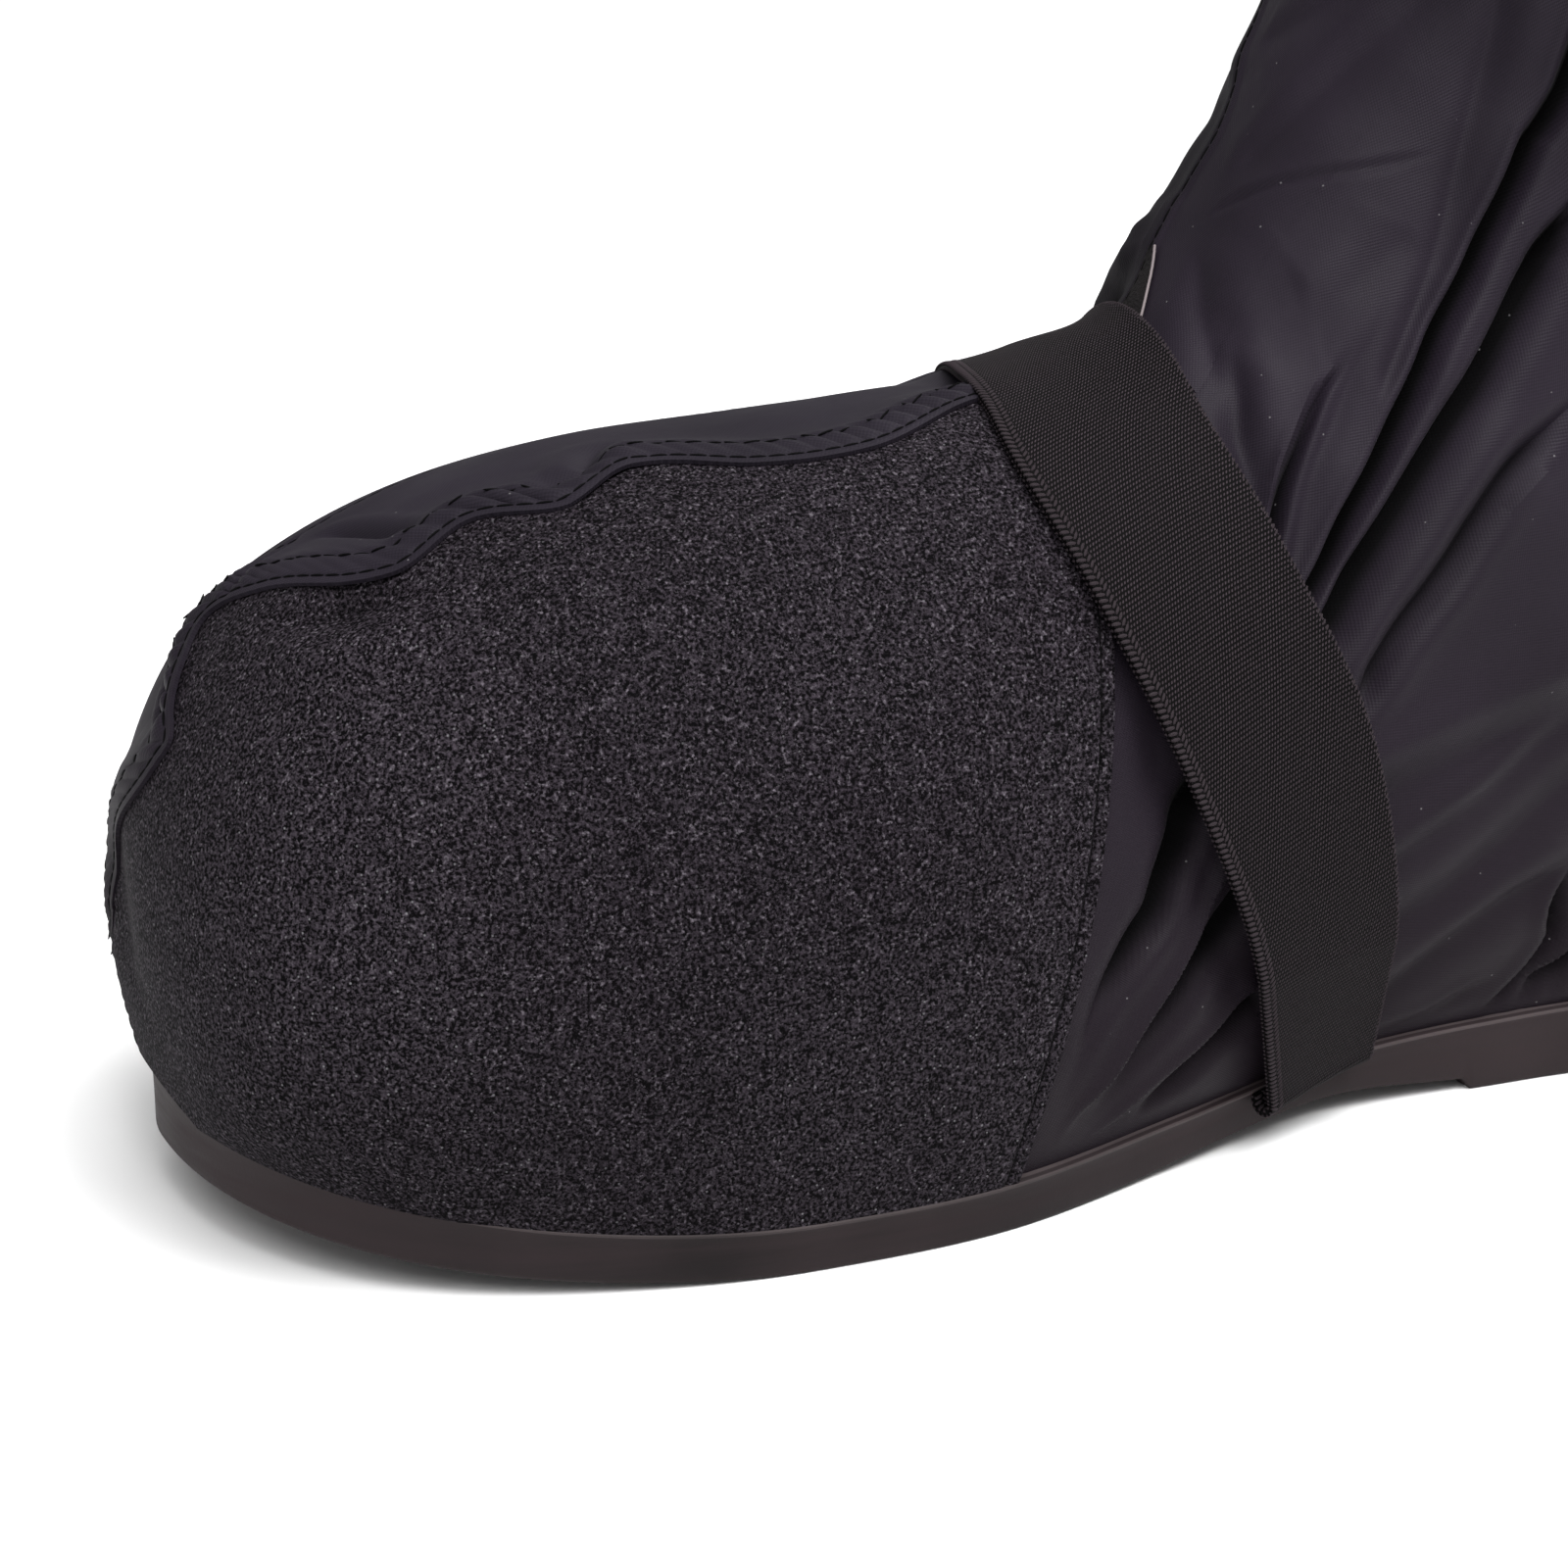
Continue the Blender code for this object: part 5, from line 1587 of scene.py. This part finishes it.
for face in sole.data.polygons:
    x = face.center.x / MM + ROW_CENTRE[0]
    below_top = float(sole_height(x, "top")) - face.center.z / MM
    on_lip = below_top < LIP_HEIGHT + LIP_MARGIN and abs(face.normal.z) < FLAT_FACE
    face.material_index = 1 if on_lip else 0
print("lip faces", sum(face.material_index for face in sole.data.polygons))


# %% [markdown]
# ## Stitches
# Each seam is a row of short thread beads that lie partly sunk in the groove that they pull. One bead is
# taken from a sphere primitive and repeated along each seam line. There are hundreds of them, and adding
# each one with an operator would take minutes, so the points of all beads go into one mesh together.

# %% Sew the seams
STITCH_LENGTH = 2.7
STITCH_PITCH = 3.0
STITCH_RADIUS = 0.22
STITCH_RISE = 0.10
FAR_SIDE_RISE = -0.06
TANGENT_REACH = 0.5
HEM_STITCH_AT = 0.12
HEM_STITCH_STOPS = 200


def bead_shape(segments, rings):
    """Points and faces of a unit bead, from a sphere primitive."""
    bpy.ops.object.select_all(action="DESELECT")
    bpy.ops.mesh.primitive_uv_sphere_add(segments=segments, ring_count=rings, radius=1)
    ball = bpy.context.object
    points = np.array([vertex.co for vertex in ball.data.vertices])
    faces = [tuple(face.vertices) for face in ball.data.polygons]
    bpy.data.objects.remove(ball, do_unlink=True)
    return points, faces


def read_line(line, run, spot):
    """Value of a line at a length along it."""
    return np.array([np.interp(spot, run, values) for values in line.T])


def bead_row(line, normals, pitch, length, radius, slant=0.0):
    """Places and directions of beads along a line: a list of centre and three axes."""
    run = run_along(line, 0)
    beads = []
    for spot in np.arange(pitch / 2, run[-1], pitch):
        centre = read_line(line, run, spot)
        ahead = read_line(line, run, min(spot + TANGENT_REACH, run[-1]))
        behind = read_line(line, run, max(spot - TANGENT_REACH, 0))
        up = read_line(normals, run, spot)
        forward = (ahead - behind) / np.linalg.norm(ahead - behind)
        side = np.cross(up, forward)
        side /= np.linalg.norm(side)
        up = np.cross(forward, side)
        main = math.cos(slant) * forward + math.sin(slant) * side
        cross = math.cos(slant) * side - math.sin(slant) * forward
        beads.append((centre, main * length / 2, cross * radius, up * radius))
    return beads


def bead_mesh(name, beads, shape):
    """One mesh object of all beads."""
    points, faces = shape
    all_points = []
    all_faces = []
    for i, (centre, main, side, up) in enumerate(beads):
        all_points.append(centre + points @ np.array([side, up, main]))
        all_faces += [tuple(v + i * len(points) for v in face) for face in faces]
    mesh = bpy.data.meshes.new(name)
    mesh.from_pydata(to_row(np.concatenate(all_points)).tolist(), [], all_faces)
    made = bpy.data.objects.new(name, mesh)
    bpy.context.scene.collection.objects.link(made)
    return made


def seam_line(numbers, places, lift):
    """Points and normals of a seam at a height over the form."""
    points = on_form(numbers, places, lift)
    return points, on_form(numbers, places, np.asarray(lift) + 1.0) - points


def line_inside(away, offset, *grids):
    """Values of the grids along the line where the distance from the first column reaches an offset."""
    away = np.maximum.accumulate(away, axis=1)
    return [np.array([np.interp(offset, *pair) for pair in zip(away, grid)]) for grid in grids]


BEAD = bead_shape(segments=8, rings=6)
seams = []
strip_heights = strip_lift(strip_numbers, strip_points) + STRIP_THICKNESS
strip_grids = (strip_numbers, strip_places, strip_heights)
turned_grids = [grid[:, ::-1] for grid in strip_grids]
for offset in (NEAR_STITCH, FAR_STITCH):
    numbers, places, heights = line_inside(strip_to_medial, offset, *strip_grids)
    seams.append(seam_line(numbers, places, heights + FAR_SIDE_RISE))
    numbers, places, heights = line_inside(strip_to_lateral[:, ::-1], offset, *turned_grids)
    seams.append(seam_line(numbers, places, heights + STITCH_RISE))
seam_height = PANEL_THICKNESS + PANEL_LIFT - SEAM_GROOVE[0] + STITCH_RISE
for panel_grids in (lateral_panel, medial_panel):
    panel_points = on_form(*panel_grids)
    from_seam = np.linalg.norm(panel_points - panel_points[-1:], axis=-1)[::-1].T
    numbers, places = line_inside(from_seam, SEAM_BACK, *(grid[::-1].T for grid in panel_grids))
    seams.append(seam_line(numbers, places, seam_height))
numbers, places, heights = line_inside(to_hem, FLAP_STITCH, flap_numbers, flap_places, flap_lift)
seams.append(seam_line(numbers, places, heights + STITCH_RISE))
hem_places = np.linspace(-1, 1, HEM_STITCH_STOPS)
seams.append(seam_line(np.full(HEM_STITCH_STOPS, HEM_FROM + HEM_STITCH_AT), hem_places, HEM_STEP))
beads = []
for line, normals in seams:
    beads += bead_row(line, normals, STITCH_PITCH, STITCH_LENGTH, STITCH_RADIUS)
stitches = bead_mesh("seam_stitches", beads, BEAD)
finish_piece(stitches, (THREAD,), "black_nylon")
print("stitches", len(beads))


# %% [markdown]
# The strap's two edges are bound by a chain of thread loops, which shows as a knotted rim. The same bead,
# shorter and set at a slant, makes it.

# %% Bind the strap's edges
LOOP_PITCH = 1.0
# Each row of loops: inset from the edge, slant, length, radius.
FRONT_LOOPS = ((0.62, math.radians(72), 1.75, 0.38), (2.0, math.radians(-48), 1.6, 0.32))
REAR_LOOPS = ((0.15, math.radians(55), 1.1, 0.26),)
# Each edge of the strap: its lane, the step to the next lane, the way round, its rows of loops.
STRAP_RIMS = ((0, 1, 1.0, FRONT_LOOPS), (-1, -1, -1.0, REAR_LOOPS))
STRAP_SKIN = 0.45

loops = []
for edge, step, turn_way, rows in STRAP_RIMS:
    line = strap_points[edge]
    run = np.gradient(line, axis=0)
    inward = strap_points[edge + step] - line
    inward /= np.linalg.norm(inward, axis=1, keepdims=True)
    up = turn_way * np.cross(inward, run)
    up /= np.linalg.norm(up, axis=1, keepdims=True)
    for inset, slant, length, radius in rows:
        for height in (STRAP_SKIN, -STRAP_SKIN):
            row = line + inward * inset + up * height
            loops += bead_row(row, up, LOOP_PITCH, length, radius, turn_way * slant)
selvedge = bead_mesh("strap_selvedge", loops, BEAD)
EDGE_THREAD = fuzzy_finish("edge_thread", (0.024, 0.0185, 0.0215), roughness=0.7, specular=0.07,
                           scale=2400.0, depth=0.12, strength=0.7)
finish_piece(selvedge, (EDGE_THREAD,), "black_elastic")
print("selvedge loops", len(loops))


# %% [markdown]
# ## Tape and piping
# Where the lower end of the flap leaves the strap, a corner of fuzzy tape shows. It is a small patch of
# pile, laid as the other sheets are.

# %% Make the tape
PIPING_PATH = ((11.8, 0.043), (12.1, 0.025), (12.5, 0.0), (12.9, -0.025))
TAPE_ROWS = 50
TAPE_LINES = 30
TAPE_INSIDE = 0.012
TAPE_LIFT = 0.1
TAPE_THICKNESS = 0.5

tape_numbers = np.linspace(PIPING_PATH[0][0], PIPING_PATH[-1][0], TAPE_ROWS)[:, None]
tape_right = smooth(tape_numbers, *np.array(PIPING_PATH).T)
tape_left = flap_edge(tape_numbers, "medial") + TAPE_INSIDE
tape_places = tape_left + (tape_right - tape_left) * np.linspace(0, 1, TAPE_LINES)
tape_numbers = np.broadcast_to(tape_numbers, tape_places.shape)
tape_lift = cloth_lift(tape_numbers, tape_places) + TAPE_LIFT
tape = lay_on_form("tape_pile", tape_numbers, tape_places, tape_lift)
thicken(tape, TAPE_THICKNESS, 1)
PILE = fuzzy_finish("loop_pile", (0.011, 0.0095, 0.0100), roughness=0.9, specular=0.1,
                    scale=2200.0, depth=0.5, strength=0.9)
finish_piece(tape, (PILE,), "black_hook_tape", "hook_tape")


# %% [markdown]
# A thin pale piping runs along the tape's edge. A cord like this is a curve through a few points with a
# round bevel, which is then converted to a mesh.

# %% Make the piping
PIPING_RADIUS = 0.24
PIPING_LIFT = 0.5
PIPING_ROUNDNESS = 3

piping_numbers, piping_places = path_places(PIPING_PATH)
piping_lift = cloth_lift(piping_numbers, piping_places) + PIPING_LIFT
piping_line = on_form(piping_numbers, piping_places, piping_lift)
bpy.ops.object.select_all(action="DESELECT")
piping_curve = bpy.data.curves.new("pale_piping", "CURVE")
piping_curve.dimensions = "3D"
piping_curve.bevel_depth = PIPING_RADIUS * MM
piping_curve.bevel_resolution = PIPING_ROUNDNESS
piping_curve.use_fill_caps = True
spline = piping_curve.splines.new("POLY")
spline.points.add(len(piping_line) - 1)
for point, spot in zip(spline.points, to_row(piping_line)):
    point.co = (*spot, 1)
piping = bpy.data.objects.new("pale_piping", piping_curve)
bpy.context.scene.collection.objects.link(piping)
piping.select_set(True)
bpy.context.view_layer.objects.active = piping
bpy.ops.object.convert(target="MESH")
piping = bpy.context.object
PIPING = fuzzy_finish("pale_cord", (0.17, 0.14, 0.145), roughness=0.6, specular=PLAIN_SPECULAR,
                      scale=1500.0, depth=0.1, strength=0.6)
finish_piece(piping, (PIPING,), "black_hook_tape")
